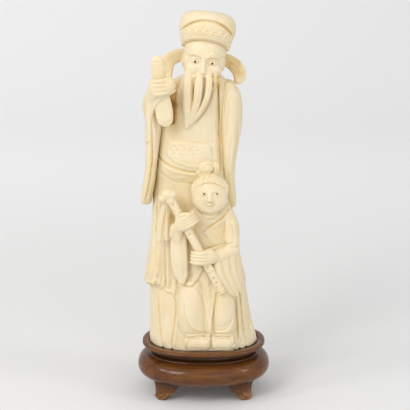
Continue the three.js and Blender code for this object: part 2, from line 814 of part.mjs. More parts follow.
// One leg, bent at the knee under the gown.
function childLegShape(side) {
  const x = kneeMiddle + (side * kneeSpacing) / 2;
  const footX = (x + shoeMiddle + (side * shoeSpacing) / 2) / 2;
  const forward = hemFront - kneeHalfDepth + 2;
  return limb(
    [
      [lerp(kneeMiddle, x, 0.7), 5 - forward, kneeHeight * 1.18, kneeHalfWidth * 0.7, kneeHalfDepth * 0.8],
      [x, 1 - forward, kneeHeight * 0.9, kneeHalfWidth * 0.94, kneeHalfDepth],
      [x, -forward, kneeHeight * 0.62, kneeHalfWidth, kneeHalfDepth],
      [x, -forward, kneeHeight * 0.42, kneeHalfWidth, kneeHalfDepth * 0.94],
      [footX, 1 - forward, shoeHeight, kneeHalfWidth * 0.94, kneeHalfDepth * 0.84],
    ],
    { sides: 12 },
  );
}

// The two shoes under the hem. They sink into the robe and reach just past its front.
function shoeShapes(grow = 0) {
  const y = shoeHalfDepth - hemFront - shoeProud;
  const radii = [shoeHalfWidth, shoeHalfDepth, shoeHeight * 0.7];
  const shoe = (side) =>
    ball([shoeMiddle + (side * shoeSpacing) / 2, y, shoeHeight * 0.34], radii, grow, 14);
  return join(shoe(-1), shoe(1));
}

// The gown's cloth that is drawn between the knees.
const lapShape = () =>
  limb([
    [kneeMiddle - 1, -15.5, kneeHeight * 1.12, 5.5, 6.5],
    [kneeMiddle, -17.4, kneeHeight * 0.8, 5, 6.6],
    [kneeMiddle + 1, -17.8, kneeHeight * 0.5, 3.6, 6.2],
    [shoeMiddle, -18.2, shoeHeight, 2.6, 5.8],
  ]);

// The gown's sleeves: the arms in them and their long hanging ends. Stations are [x, y, share
// of the child's height, half width, half thickness].
function childSleeveShapes() {
  const sleeve = (facing, stations) =>
    limb(
      stations.map(([x, y, share, ...halfSizes]) => [x, y, share * childHeight, ...halfSizes]),
      { steps: 1, facing },
    );
  const ahead = [0, -1, 0.1];
  return join(
    sleeve(ahead, [
      [-5, -16.6, 0.933, 4.6, 4.6],
      [-10.6, -18.6, 0.885, 5, 4.6],
      [-13.6, -20.6, 0.817, 5.2, 4.6],
    ]),
    sleeve(
      [1, 0, 0],
      [
        [-16.6, -21.4, 0.74, 5, 4],
        [-17.4, -23.6, 0.798, 4.6, 4],
        [-16.4, -25.4, 0.837, 4.2, 3.8],
      ],
    ),
    sleeve(ahead, [
      [-16.4, -22.4, 0.808, 5, 3.4],
      [-16.8, -23.4, 0.75, 5.6, 3.4],
      [-16.2, -24, 0.635, 5.8, 3.3],
      [-15.4, -24.2, 0.548, 4.8, 2.8],
      [-15.6, -24.2, 0.49, 2, 1.8],
    ]),
    sleeve(ahead, [
      [13.8, -15.8, 0.947, 5.4, 5],
      [18.2, -17, 0.856, 5.6, 5.8],
      [19.4, -19, 0.74, 5.2, 5.6],
    ]),
    sleeve(ahead, [
      [20.4, -19.6, 0.698, 4.8, 4.4],
      [14.6, -22.6, 0.675, 4.8, 4.2],
      [8.6, -24.8, 0.658, 4.6, 4],
    ]),
    ...[
      [
        [9.4, -24.6, 0.644, 3.2, 3.2],
        [10.2, -25.2, 0.567, 3.2, 3],
        [13.2, -24.8, 0.49, 2.9, 2.7],
        [17.6, -23.8, 0.427, 2.4, 2.2],
        [21, -22.6, 0.388, 1.1, 1.2],
      ],
      [
        [14, -23.6, 0.663, 3.4, 3.2],
        [15, -24, 0.577, 3.2, 3],
        [17.8, -23.6, 0.5, 2.8, 2.6],
        [21.2, -22.6, 0.431, 2.2, 2.2],
        [23.4, -21.6, 0.385, 1.1, 1.2],
      ],
      [
        [18.4, -21.8, 0.683, 3.4, 3.2],
        [19.4, -22.2, 0.587, 3, 2.8],
        [21.4, -21.8, 0.51, 2.7, 2.5],
        [24, -20.8, 0.438, 2, 2],
        [25.6, -19.8, 0.398, 1, 1.1],
      ],
      [
        [21.2, -19.4, 0.683, 2.8, 2.8],
        [22.6, -19.4, 0.577, 2.5, 2.4],
        [24.2, -19, 0.481, 2.2, 2.1],
        [26.4, -18, 0.417, 1.3, 1.3],
      ],
    ].map((stations) => sleeve(ahead, stations)),
  );
}

const childHeadMiddle = new THREE.Vector3(
  childHeadSide,
  -childHeadForward,
  childHeight + childHeadHalfHeight * 0.72,
);

function childHeadShape(grow = 0) {
  const { x, y, z } = childHeadMiddle;
  const skull = ball([x, y, z], [childHeadHalfWidth, childHeadHalfDepth, childHeadHalfHeight], grow, 14);
  const chin = ball([x, y - 3.8, z - childHeadHalfHeight * 0.6], [9.6, 7, 7], grow, 12);
  const bunAt = [x + childHeadHalfWidth * 0.04, y + 1, z + childHeadHalfHeight + bunHalfHeight * 0.78];
  const bun = ball(bunAt, [bunHalfWidth, bunHalfWidth * 0.6, bunHalfHeight], grow, 12);
  const neckFoot = z - childHeadHalfHeight - 3;
  const neck = rod([x, y + 2, neckFoot], [x, y + 1, z - 4], childHeadHalfWidth * 0.52, grow, 12);
  const nose = ball([x, y - childHeadHalfDepth + 0.2, z - 2.2], [1.5, 1.6, 1.7], grow, 8);
  const ears = [-1, 1].map((side) =>
    ball([x + side * childHeadHalfWidth * 0.98, y + 2, z - 1.6], [1.3, 2, 3.2], grow, 8),
  );
  return join(skull, chin, bun, neck, nose, ...ears);
}

const childEyes = [-1, 1].map((side) => {
  const fromMiddle = new THREE.Vector3((side * childEyeSpacing) / 2, -childHeadHalfDepth * 0.92, 0.2);
  return childHeadMiddle.clone().add(fromMiddle);
});

// Flute: it runs down across the child's chest, from its knob to its foot.
const fluteSlopeAngle = degToRad(fluteSlope);
const fluteTop = new THREE.Vector3(-fluteSide, -fluteForward, childHeight + fluteRise);
const fluteAlong = new THREE.Vector3(Math.cos(fluteSlopeAngle), 0, -Math.sin(fluteSlopeAngle));
const flutePoint = (distance) => fluteTop.clone().addScaledVector(fluteAlong, distance);

function fluteShape(grow = 0) {
  const stem = rod(flutePoint(0).toArray(), flutePoint(fluteLength).toArray(), fluteRadius, grow);
  const knobRadii = [fluteKnobRadius, fluteKnobRadius * 0.7, fluteKnobRadius * 0.95];
  return join(stem, ball(flutePoint(0).toArray(), knobRadii, grow));
}

// One hole over the upper hand and one under it, and the others below the lower hand.
function fluteHoles() {
  const spots = [upperGrip - fluteHoleStep * 1.5, upperGrip + fluteHoleStep];
  for (let i = 2; i < fluteHoleCount; i++) spots.push(lowerGrip + fluteHoleStep * (i - 0.7));
  return spots.map((distance) => {
    const { x, y, z } = flutePoint(distance);
    const front = y - fluteRadius;
    return rod([x, front - 1, z], [x, front + fluteHoleDepth, z], fluteHoleRadius, 0, 8);
  });
}

// The tassel hangs from the underside of the knob.
function tasselShape(grow = 0) {
  const { x, y } = fluteTop;
  const top = fluteTop.z - fluteKnobRadius * 0.7;
  return limb(
    [
      [x - 1.6, y + 1.6, top, 1.8, 1.6],
      [x - 4.2, y + 5, top - tasselLength * 0.35, 3, 1.6],
      [x - 6, y + 6.4, top - tasselLength * 0.75, 3.4, 1.5],
      [x - 7.2, y + 6, top - tasselLength, 2, 1.2],
    ],
    { grow },
  );
}

// A hand laid over the flute: its back on one side of it, four fingers side by side across the
// front, and the wrist. The path of a finger is [reach across, y from the flute's middle line].
function childHandShape({ distance, way, across, shift, wristEnd, grow = 0 }) {
  const fingers = 4;
  const centre = flutePoint(distance).addScaledVector(across, shift);
  const path = [
    [-4.4, -1.6, 1],
    [-0.8, -3.6, 1],
    [3.2, -3.5, 0.95],
    [6.4, -1.6, 0.85],
    [8.2, 2.4, 0.7],
  ];
  const laid = [];
  for (let f = 0; f < fingers; f++) {
    const offset = (f - (fingers - 1) / 2) * childFingerRadius * 1.6;
    const middle = centre.clone().addScaledVector(way, offset);
    const stations = path.map(([reach, y, share]) => {
      const spot = middle.clone().addScaledVector(across, reach);
      return [spot.x, spot.y + y, spot.z, childFingerRadius * share, childFingerRadius * share];
    });
    laid.push(limb(stations, { grow, sides: 6, steps: 1, facing: way.toArray() }));
  }
  const backMiddle = centre.clone().addScaledVector(across, -childHandHalfWidth * 0.7);
  const backRadii = [childHandHalfWidth, childHandHalfWidth * 0.74, childHandHalfWidth * 1.06];
  const back = ball([backMiddle.x, backMiddle.y - 1, backMiddle.z], backRadii, grow, 12);
  const radius = childHandHalfWidth * 0.74;
  const stations = [backMiddle.toArray(), wristEnd].map((point) => [...point, radius, radius * 0.9]);
  return join(back, ...laid, limb(stations, { grow, facing: [0, -1, 0.01] }));
}

const upperHandShape = (grow) =>
  childHandShape({
    distance: upperGrip,
    way: fluteAlong,
    across: new THREE.Vector3(-fluteAlong.z, 0, fluteAlong.x),
    shift: 1,
    wristEnd: [-upperWristSide, -upperWristForward, childHeight * 0.79],
    grow,
  });
const lowerHandShape = (grow) =>
  childHandShape({
    distance: lowerGrip,
    way: new THREE.Vector3(-0.1, 0, -0.995),
    across: new THREE.Vector3(-1, 0, 0),
    shift: 0,
    wristEnd: [lowerWristSide, -lowerWristForward, childHeight * 0.67],
    grow,
  });

// Pins: each starts inside the robe and runs into the piece that it holds.
const pinSink = 4.8;
const pinFrom = (x, y, z, [dx, dy]) => ({
  from: [x - dx * pinSink, y - dy * pinSink, z],
  to: [x + dx * (pinLength - pinSink), y + dy * (pinLength - pinSink), z],
});

const sleevePinLevel = chestLevel + chestHeight * 0.3;
const pins = {
  child_pin_upper: pinFrom(3, -childSeatForward, childHeight * 0.72, [0, -1]),
  child_pin_lower: pinFrom(0, -childSeatForward, childHeight * 0.24, [0, -1]),
  raised_sleeve_pin: pinFrom(-robeAt(sleevePinLevel)[1], -raisedPinForward, sleevePinLevel, [-1, 0]),
  lowered_sleeve_pin: pinFrom(robeAt(sleevePinLevel)[2], 0, sleevePinLevel, [1, 0]),
};
const pinSolid = (pin, grow = 0) => rod(pin.from, pin.to, pinRadius, grow);

const neckDowel = (grow = 0) => {
  const half = neckDowelLength / 2;
  return rod([-1, 0, neckLevel - half], [-1, 0, neckLevel + half], neckDowelRadius, grow);
};

// Assembly

const model = new THREE.Group();
const figure = new THREE.Group();
figure.position.z = seatLevel;
model.add(figure);

function addPiece(group, name, solid, material) {
  const piece = new THREE.Mesh(geometryOf(mainBody(solid)), material);
  piece.name = name;
  group.add(piece);
}

// The recess in the plate follows the figure's foot, and is let out for the folds of its hem.
function seatRecess() {
  const play = seatPlay + foldDepth * 1.6;
  const halfWidth = hemHalfWidth + play;
  const reach = { left: halfWidth, right: halfWidth, front: hemFront + play, back: hemBack + play };
  return loft([seatLevel, plateTop + 1].map((z) => levelRing({ z, ...reach, power: hemPower, sides: 36 })));
}

function buildStand() {
  const corners = [
    ["foot_front_left", -1, -1],
    ["foot_front_right", 1, -1],
    ["foot_back_left", -1, 1],
    ["foot_back_right", 1, 1],
  ];
  const footDowel = (x, y, grow) => {
    const half = footDowelLength / 2;
    const level = (z) => [x * footTopX, y * footTopY, z];
    return rod(level(footHeight - half), level(footHeight + half), footDowelRadius, grow);
  };
  const standDowel = (grow) =>
    rod([0, 0, drumTop - standDowelSink], [0, 0, plateBottom + standDowelRise], standDowelRadius, grow);
  for (const [name, x, y] of corners) {
    addPiece(model, name, footSolid(x, y, footDowel(x, y, glueGap)), rosewood);
    addPiece(model, `${name}_dowel`, footDowel(x, y, 0), rosewood);
  }
  const dowelHoles = corners.map(([, x, y]) => footDowel(x, y, glueGap));
  addPiece(model, "stand_drum", drumSolid(...dowelHoles, standDowel(glueGap)), rosewood);
  addPiece(model, "stand_waist", waistSolid(standDowel(glueGap)), rosewood);
  addPiece(model, "stand_plate", plateSolid(seatRecess(), standDowel(glueGap)), rosewood);
  addPiece(model, "stand_dowel", standDowel(0), rosewood);
}

function buildScholar() {
  const robeSpace = robeShape(glueGap);
  const pinHole = (pin) => pinSolid(pin, glueGap);
  const pinHoles = Object.values(pins).map(pinHole);
  const childSpace = join(childTrunkShape(glueGap), shoeShapes(glueGap));
  const robe = cut(robeShape(), marrowShape(), childSpace, neckDowel(glueGap), ...pinHoles);
  addPiece(figure, "scholar_robe", robe, bone);
  addPiece(figure, "marrow_plug", plugShape(), boneCore);
  addPiece(figure, "neck_dowel", neckDowel(), boneCore);

  const headSpace = turned(join(skullShape(glueGap), faceShape(glueGap)), headPose);
  const head = join(turned(join(skullShape(), faceShape()), headPose), neckShape(), beardShape());
  const eyeSockets = scholarEyes.map((point) => eyeInlay(point, glueGap));
  addPiece(figure, "scholar_head", cut(head, robeSpace, neckDowel(glueGap), ...eyeSockets), bone);
  addPiece(figure, "scholar_eye_left", eyeInlay(scholarEyes[0]), blackHorn);
  addPiece(figure, "scholar_eye_right", eyeInlay(scholarEyes[1]), blackHorn);

  addPiece(figure, "hat", cut(hatShape(), headSpace, wingShape(-1, glueGap), wingShape(1, glueGap)), bone);
  const round = [robeSpace, headSpace, raisedSleeveShape(glueGap), loweredSleeveShape(glueGap)];
  addPiece(figure, "hat_wing_left", cut(wingShape(-1), ...round), bone);
  addPiece(figure, "hat_wing_right", cut(wingShape(1), ...round), bone);

  const handSpace = raisedHandShape(glueGap);
  const tabletSpace = tabletShape(glueGap);
  const raisedSleeve = cut(raisedSleeveShape(), robeSpace, handSpace, tabletSpace, ...pinHoles);
  addPiece(figure, "raised_sleeve", raisedSleeve, bone);
  addPiece(figure, "raised_hand", cut(raisedHandShape(), robeSpace, tabletSpace), bone);
  addPiece(figure, "held_tablet", cut(tabletShape(), robeSpace), bone);
  const loweredSleeve = cut(loweredSleeveShape(), robeSpace, headSpace, ...pinHoles);
  addPiece(figure, "lowered_sleeve", loweredSleeve, bone);
  for (const [name, pin] of Object.entries(pins)) addPiece(figure, name, pinSolid(pin), boneCore);
}

function buildChild() {
  const robeSpace = robeShape(glueGap);
  const sleeveSpace = loweredSleeveShape(glueGap);
  const headSpace = childHeadShape(glueGap);
  const fluteSpace = fluteShape(glueGap);
  const handSpaces = [upperHandShape(glueGap), lowerHandShape(glueGap)];
  const pinHoles = [pins.child_pin_upper, pins.child_pin_lower].map((pin) => pinSolid(pin, glueGap));
  const belowSeat = rod([0, 0, -hemFront], [0, 0, 0], hemHalfWidth * 2);
  const limbs = join(childLegShape(-1), childLegShape(1), lapShape(), childSleeveShapes());
  const outside = cut(limbs, robeSpace);
  const whole = join(childTrunkShape(), shoeShapes(), outside);
  const child = cut(whole, sleeveSpace, headSpace, fluteSpace, ...handSpaces);
  addPiece(figure, "child_body", cut(child, tasselShape(glueGap), ...pinHoles, belowSeat), bone);
  const eyeSockets = childEyes.map((point) => eyeInlay(point, glueGap));
  addPiece(figure, "child_head", cut(childHeadShape(), robeSpace, sleeveSpace, ...eyeSockets), bone);
  addPiece(figure, "child_eye_left", eyeInlay(childEyes[0]), blackHorn);
  addPiece(figure, "child_eye_right", eyeInlay(childEyes[1]), blackHorn);
  addPiece(figure, "flute", cut(fluteShape(), robeSpace, ...fluteHoles()), bone);
  addPiece(figure, "flute_tassel", cut(tasselShape(), robeSpace, fluteSpace, ...handSpaces), bone);
  addPiece(figure, "child_hand_upper", cut(upperHandShape(), robeSpace, fluteSpace, headSpace), bone);
  addPiece(figure, "child_hand_lower", cut(lowerHandShape(), robeSpace, fluteSpace), bone);
}

buildStand();
buildScholar();
buildChild();

export default model;
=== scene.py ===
# The looks of the carved bone scholar and child on their hardwood stand.
# The carving is done in millimetres above the seat and placed in metres on the CAD frame.
import math
from types import SimpleNamespace

import bpy
import numpy as np
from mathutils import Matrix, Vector


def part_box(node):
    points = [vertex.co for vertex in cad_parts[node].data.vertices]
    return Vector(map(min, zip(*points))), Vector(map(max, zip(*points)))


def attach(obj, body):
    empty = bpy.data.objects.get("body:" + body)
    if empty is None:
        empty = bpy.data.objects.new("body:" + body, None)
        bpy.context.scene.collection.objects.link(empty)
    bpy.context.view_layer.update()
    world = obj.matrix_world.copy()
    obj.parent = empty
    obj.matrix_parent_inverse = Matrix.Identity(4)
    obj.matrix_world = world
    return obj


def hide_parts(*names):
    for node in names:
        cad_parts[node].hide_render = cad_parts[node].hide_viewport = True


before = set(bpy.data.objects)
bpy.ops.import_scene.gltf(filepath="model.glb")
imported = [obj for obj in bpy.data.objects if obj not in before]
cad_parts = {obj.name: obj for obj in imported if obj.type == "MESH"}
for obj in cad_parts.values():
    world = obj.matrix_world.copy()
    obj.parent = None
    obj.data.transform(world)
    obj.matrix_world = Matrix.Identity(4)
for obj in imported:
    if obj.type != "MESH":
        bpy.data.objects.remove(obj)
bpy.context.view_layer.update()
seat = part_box("scholar_robe")[0][2] * 1000
coarse = 1.0
print("frame loaded, seat at", round(seat, 2), "mm")

# tools for carving: fields are distances in mm, negative inside the bone


def makeBlock(low, high, step):
    step = step * coarse
    x, y, z = (np.arange(a, b + step, step, dtype=np.float32) for a, b in zip(low, high))
    shape = (len(x), len(y), len(z))
    return SimpleNamespace(
        x=x[:, None, None], y=y[None, :, None], z=z[None, None, :],
        u=x[:, None], v=z[None, :], low=np.array(low, float), step=step, shape=shape,
    )


def newPlan(block):
    # the plan of a relief, seen from the front, with its heights in mm
    return np.zeros((block.shape[0], block.shape[2]), np.float32)


def mirrored(block):
    # what is worked on the right comes out on the left too
    made = SimpleNamespace(**vars(block))
    made.x = np.abs(block.x)
    return made


def blend(a, b, soft=1.0):
    near = np.maximum(soft - np.abs(a - b), 0) / soft
    return np.minimum(a, b) - near * near * soft * 0.25


def carve(a, b, soft=0.6):
    return -blend(-a, b, soft)


def ramp(value, start, end):
    share = np.clip((value - start) / (end - start), 0, 1)
    return share * share * (3 - 2 * share)


def hump(value, middle, width, power=2):
    return np.exp(-(((value - middle) / width) ** power))


def egg(block, centre, radii):
    x = (block.x - centre[0]) / radii[0]
    y = (block.y - centre[1]) / radii[1]
    z = (block.z - centre[2]) / radii[2]
    reach = np.sqrt(x * x + y * y + z * z)
    slope = np.sqrt((x / radii[0]) ** 2 + (y / radii[1]) ** 2 + (z / radii[2]) ** 2)
    return reach * (reach - 1) / np.maximum(slope, 1e-4)


def smoothLine(points, steps=6):
    points = np.array(points, float)
    if len(points) < 3 or steps < 2:
        return points
    ends = np.vstack([2 * points[0] - points[1], points, 2 * points[-1] - points[-2]])
    made = []
    for a, b, c, d in zip(ends, ends[1:], ends[2:], ends[3:]):
        for t in np.arange(steps) / steps:
            made.append(0.5 * (2 * b + (c - a) * t + (2 * a - 5 * b + 4 * c - d) * t * t
                               + (3 * b - a - 3 * c + d) * t ** 3))
    return np.array(made + [points[-1]])


def limb(block, stations, facing=(0, -1, 0), steps=5, grooves=0, grooveDepth=0.0, power=2.0):
    # stations: x, y, z, half width, half thickness; the width lies square to the facing
    line = smoothLine(stations, steps)
    path, wide, thick = line[:, :3], line[:, 3], line[:, 4]
    margin = 4.0
    low = np.maximum(((path - wide.max() - margin).min(0) - block.low) // block.step, 0).astype(int)
    high = ((path + wide.max() + margin).max(0) - block.low) // block.step + 2
    high = np.minimum(high.astype(int), block.shape)
    made = np.full(block.shape, 8.0, np.float32)
    if np.any(high <= low):
        return made
    i, j, k = (slice(a, b) for a, b in zip(low, high))
    x, y, z = block.x[i], block.y[:, j], block.z[:, :, k]
    best = np.full((x.size, y.size, z.size), 8.0, np.float32)
    facing = np.array(facing, float)
    for a, b, w0, w1, t0, t1 in zip(path, path[1:], wide, wide[1:], thick, thick[1:]):
        along = b - a
        length = np.linalg.norm(along)
        along = along / length
        side = np.cross(facing, along)
        side = side / np.linalg.norm(side)
        out = np.cross(along, side)
        dx, dy, dz = x - a[0], y - a[1], z - a[2]
        far = dx * along[0] + dy * along[1] + dz * along[2]
        share = np.clip(far / length, 0, 1)
        w = w0 + (w1 - w0) * share
        t = t0 + (t1 - t0) * share
        s = dx * side[0] + dy * side[1] + dz * side[2]
        o = dx * out[0] + dy * out[1] + dz * out[2]
        e = far - share * length
        r = np.minimum(w, t)
        if power == 2.0:
            reach = np.sqrt((s / w) ** 2 + (o / t) ** 2 + (e / r) ** 2)
        else:
            reach = np.abs(s / w) ** power + np.abs(o / t) ** power + np.abs(e / r) ** power
            reach = reach ** (1 / power)
        span = np.sqrt(s * s + o * o + e * e)
        gap = np.where(reach > 0.6, span * (1 - 1 / np.maximum(reach, 0.6)), (reach - 1) * r)
        if grooves:
            gap = gap + grooveDepth * (0.5 - 0.5 * np.cos(s / w * math.pi * grooves))
        best = np.minimum(best, gap)
    made[i, j, k] = best
    return made


def rowsAt(rows, z, soft=2.0):
    rows = np.array(sorted(rows), float)
    fine = np.arange(rows[0, 0] - 12, rows[-1, 0] + 12, 0.25)
    reach = int(soft * 3 / 0.25) + 1
    kernel = np.exp(-0.5 * (np.arange(-reach, reach + 1) * 0.25 / soft) ** 2)
    kernel = kernel / kernel.sum()
    columns = []
    for column in rows.T[1:]:
        values = np.pad(np.interp(fine, rows[:, 0], column), reach, mode="edge")
        columns.append(np.interp(z, fine, np.convolve(values, kernel, "valid")).astype(np.float32))
    return columns


def loft(block, rows, power=2.2, soft=2.0, ends=None, endSoft=1.0):
    # rows: height, reach to the left, right, front and back; also gives the angle round it
    left, right, front, back = (c.reshape(1, 1, -1) for c in rowsAt(rows, block.z.ravel(), soft))
    x = block.x - (right - left) / 2
    y = block.y - (back - front) / 2
    wide, deep = (right + left) / 2, (front + back) / 2
    u, v = x / wide, y / deep
    reach = (np.abs(u) ** power + np.abs(v) ** power) ** (1 / power)
    made = np.where(reach > 0.5, np.sqrt(x * x + y * y) * (1 - 1 / np.maximum(reach, 0.5)),
                    (reach - 1) * np.minimum(wide, deep))
    low, high = ends or (rows[0][0], rows[-1][0])
    made = -blend(-made, -np.maximum(low - block.z, block.z - high) + 0 * made, endSoft)
    return made, np.arctan2(v, u)


def strokeField(u, v, points, steps=6):
    # distance to a smooth line on a plane, the side of it, and the way along it
    line = smoothLine(points, steps)
    best = np.full(np.broadcast(u, v).shape, 1e6, np.float32)
    side, way = np.zeros_like(best), np.zeros_like(best)
    gone = 0.0
    for a, b in zip(line, line[1:]):
        along = b - a
        length = max(np.hypot(*along), 1e-6)
        along = along / length
        du, dv = u - a[0], v - a[1]
        far = du * along[0] + dv * along[1]
        share = np.clip(far, 0, length)
        off = np.hypot(du - along[0] * share, dv - along[1] * share)
        closer = off < best
        best = np.where(closer, off, best)
        side = np.where(closer, np.sign(along[0] * dv - along[1] * du), side)
        way = np.where(closer, gone + share, way)
        gone += length
    return best, side, way, gone


def draw(plan, block, points, depth, width, kind="groove", fade=3.0, steps=6, closed=False):
    # works a line into a relief plan; a step raises the left-hand side of its line
    points = np.array(points, float)
    if closed:
        points = np.vstack([points, points[:1]])
    margin = 12.0 if kind in ("step", "fold") else width * 3 + 1
    u, v = block.u.ravel(), block.v.ravel()
    i = slice(*np.searchsorted(u, (points[:, 0].min() - margin, points[:, 0].max() + margin)))
    j = slice(*np.searchsorted(v, (points[:, 1].min() - margin, points[:, 1].max() + margin)))
    if i.start == i.stop or j.start == j.stop:
        return
    off, side, way, total = strokeField(block.u[i], block.v[:, j], points, steps)
    ends = 1.0
    if not closed and fade:
        ends = ramp(way, 0, fade) * ramp(total - way, 0, fade)
    if kind == "groove":
        shape = -np.exp(-((off / width) ** 2))
    elif kind == "ridge":
        shape = np.exp(-((off / width) ** 2))
    elif kind == "cut":
        shape = -np.maximum(1 - off / width, 0)
    elif kind == "step":
        shape = ramp(off * side, -width * 0.5, width * 0.5) * np.exp(-np.maximum(off * side, 0) / 5.0)
        shape = shape - 0.5 * np.exp(-((off * side / width + 0.8) ** 2))
    elif kind == "fold":
        shape = ramp(off * side, -width * 0.3, width * 0.3) * np.exp(-((off / (width * 2.5)) ** 2))
        shape = shape - 0.7 * np.exp(-(((off * side + width * 0.4) / (width * 0.6)) ** 2))
    plan[i, j] += depth * shape * ends


def drawAll(plan, block, lines, sides=(1,), across=0.0, up=0.0):
    # lines: points across and up, depth, width, and if need be the kind and how long each end fades
    for side in sides:
        for points, *how in lines:
            draw(plan, block, [(across + side * a, up + b) for a, b in points], *how)


def fill(plan, block, outline, height, edge=0.5, steps=4):
    # raises all that lies inside a closed outline
    line = smoothLine(list(outline) + [outline[0]], steps)
    off = strokeField(block.u, block.v, line, 1)[0]
    inside = np.zeros(off.shape, bool)
    for a, b in zip(line, line[1:]):
        between = (a[1] > block.v) != (b[1] > block.v)
        cross = (b[0] - a[0]) * (block.v - a[1]) / ((b[1] - a[1]) or 1e-9) + a[0]
        inside ^= between & (block.u < cross)
    plan += height * ramp(np.where(inside, off, -off), -edge, edge)


def boxBlur(values, radius):
    for axis in range(3):
        padded = np.pad(values, [(radius + 1, radius) if a == axis else (0, 0) for a in range(3)],
                        mode="edge")
        total = np.cumsum(padded, axis=axis, dtype=np.float64)
        count = values.shape[axis]
        upper = np.take(total, np.arange(2 * radius + 1, 2 * radius + 1 + count), axis=axis)
        lower = np.take(total, np.arange(0, count), axis=axis)
        values = ((upper - lower) / (2 * radius + 1)).astype(np.float32)
    return values


def skinOf(field, block):
    # one quad for each grid edge that the surface crosses, one point for each cell beside it
    count = np.array(field.shape)
    inside = field < 0
    flat = field.ravel()
    strides = np.array([count[1] * count[2], count[2], 1])
    cellIds, spots, faces = [], [], []
    for axis in range(3):
        lower = [slice(1, -1)] * 3
        upper = [slice(1, -1)] * 3
        lower[axis], upper[axis] = slice(0, -1), slice(1, None)
        crossed = inside[tuple(lower)] != inside[tuple(upper)]
        at = np.argwhere(crossed) + [0 if a == axis else 1 for a in range(3)]
        ids = at @ strides
        a, b = flat[ids], flat[ids + strides[axis]]
        share = a / (a - b)
        spot = at.astype(np.float32)
        spot[:, axis] += share
        others = [o for o in range(3) if o != axis]
        if axis == 1:
            others.reverse()
        p, q = strides[others[0]], strides[others[1]]
        ring = np.stack([ids - p - q, ids - q, ids, ids - p], axis=1)
        ring[b < a] = ring[b < a][:, ::-1]
        cellIds.append(ring.ravel())
        spots.append(np.repeat(spot, 4, axis=0))
        faces.append(ring)
    cellIds, spots, faces = np.concatenate(cellIds), np.concatenate(spots), np.concatenate(faces)
    place = np.unique(cellIds, return_inverse=True)[1]
    share = np.bincount(place)
    points = np.stack([np.bincount(place, spots[:, d]) / share for d in range(3)], axis=1)
    return points * block.step + block.low, place.reshape(-1, 4)


def largestShell(points, faces):
    label = np.arange(len(points))
    while True:
        lowest = label[faces].min(axis=1)
        fresh = label.copy()
        np.minimum.at(fresh, faces.ravel(), np.repeat(lowest, 4))
        fresh = fresh[fresh]
        if np.array_equal(fresh, label):
            break
        label = fresh
    names, sizes = np.unique(label, return_counts=True)
    keep = label == names[sizes.argmax()]
    renumber = np.cumsum(keep) - 1
    return points[keep], renumber[faces[keep[faces].all(axis=1)]]


def turnY(degrees):
    c, s = math.cos(math.radians(degrees)), math.sin(math.radians(degrees))
    return np.array([[c, 0, s], [0, 1, 0], [-s, 0, c]])


def turnX(degrees):
    c, s = math.cos(math.radians(degrees)), math.sin(math.radians(degrees))
    return np.array([[1, 0, 0], [0, c, -s], [0, s, c]])


level = (np.eye(3), np.zeros(3))
carvings = {}


def keep(name, field, block, pose=level):
    carvings[name] = SimpleNamespace(field=field, block=block, pose=pose)
    print("carved", name, field.shape)


def toPose(points, pose):
    return np.asarray(points) @ pose[0].T + pose[1]


def fromPose(points, pose):
    return (np.asarray(points) - pose[1]) @ pose[0]


def meshFrom(name, points, faces):
    mesh = bpy.data.meshes.new(name)
    mesh.vertices.add(len(points))
    mesh.vertices.foreach_set("co", np.asarray(points, np.float32).ravel())
    size = len(faces[0])
    mesh.loops.add(len(faces) * size)
    mesh.loops.foreach_set("vertex_index", np.asarray(faces, np.int32).ravel())
    mesh.polygons.add(len(faces))
    mesh.polygons.foreach_set("loop_start", np.arange(0, len(faces) * size, size, dtype=np.int32))
    mesh.update(calc_edges=True)
    mesh.validate()
    mesh.shade_smooth()
    piece = bpy.data.objects.new(name, mesh)
    bpy.context.collection.objects.link(piece)
    return piece


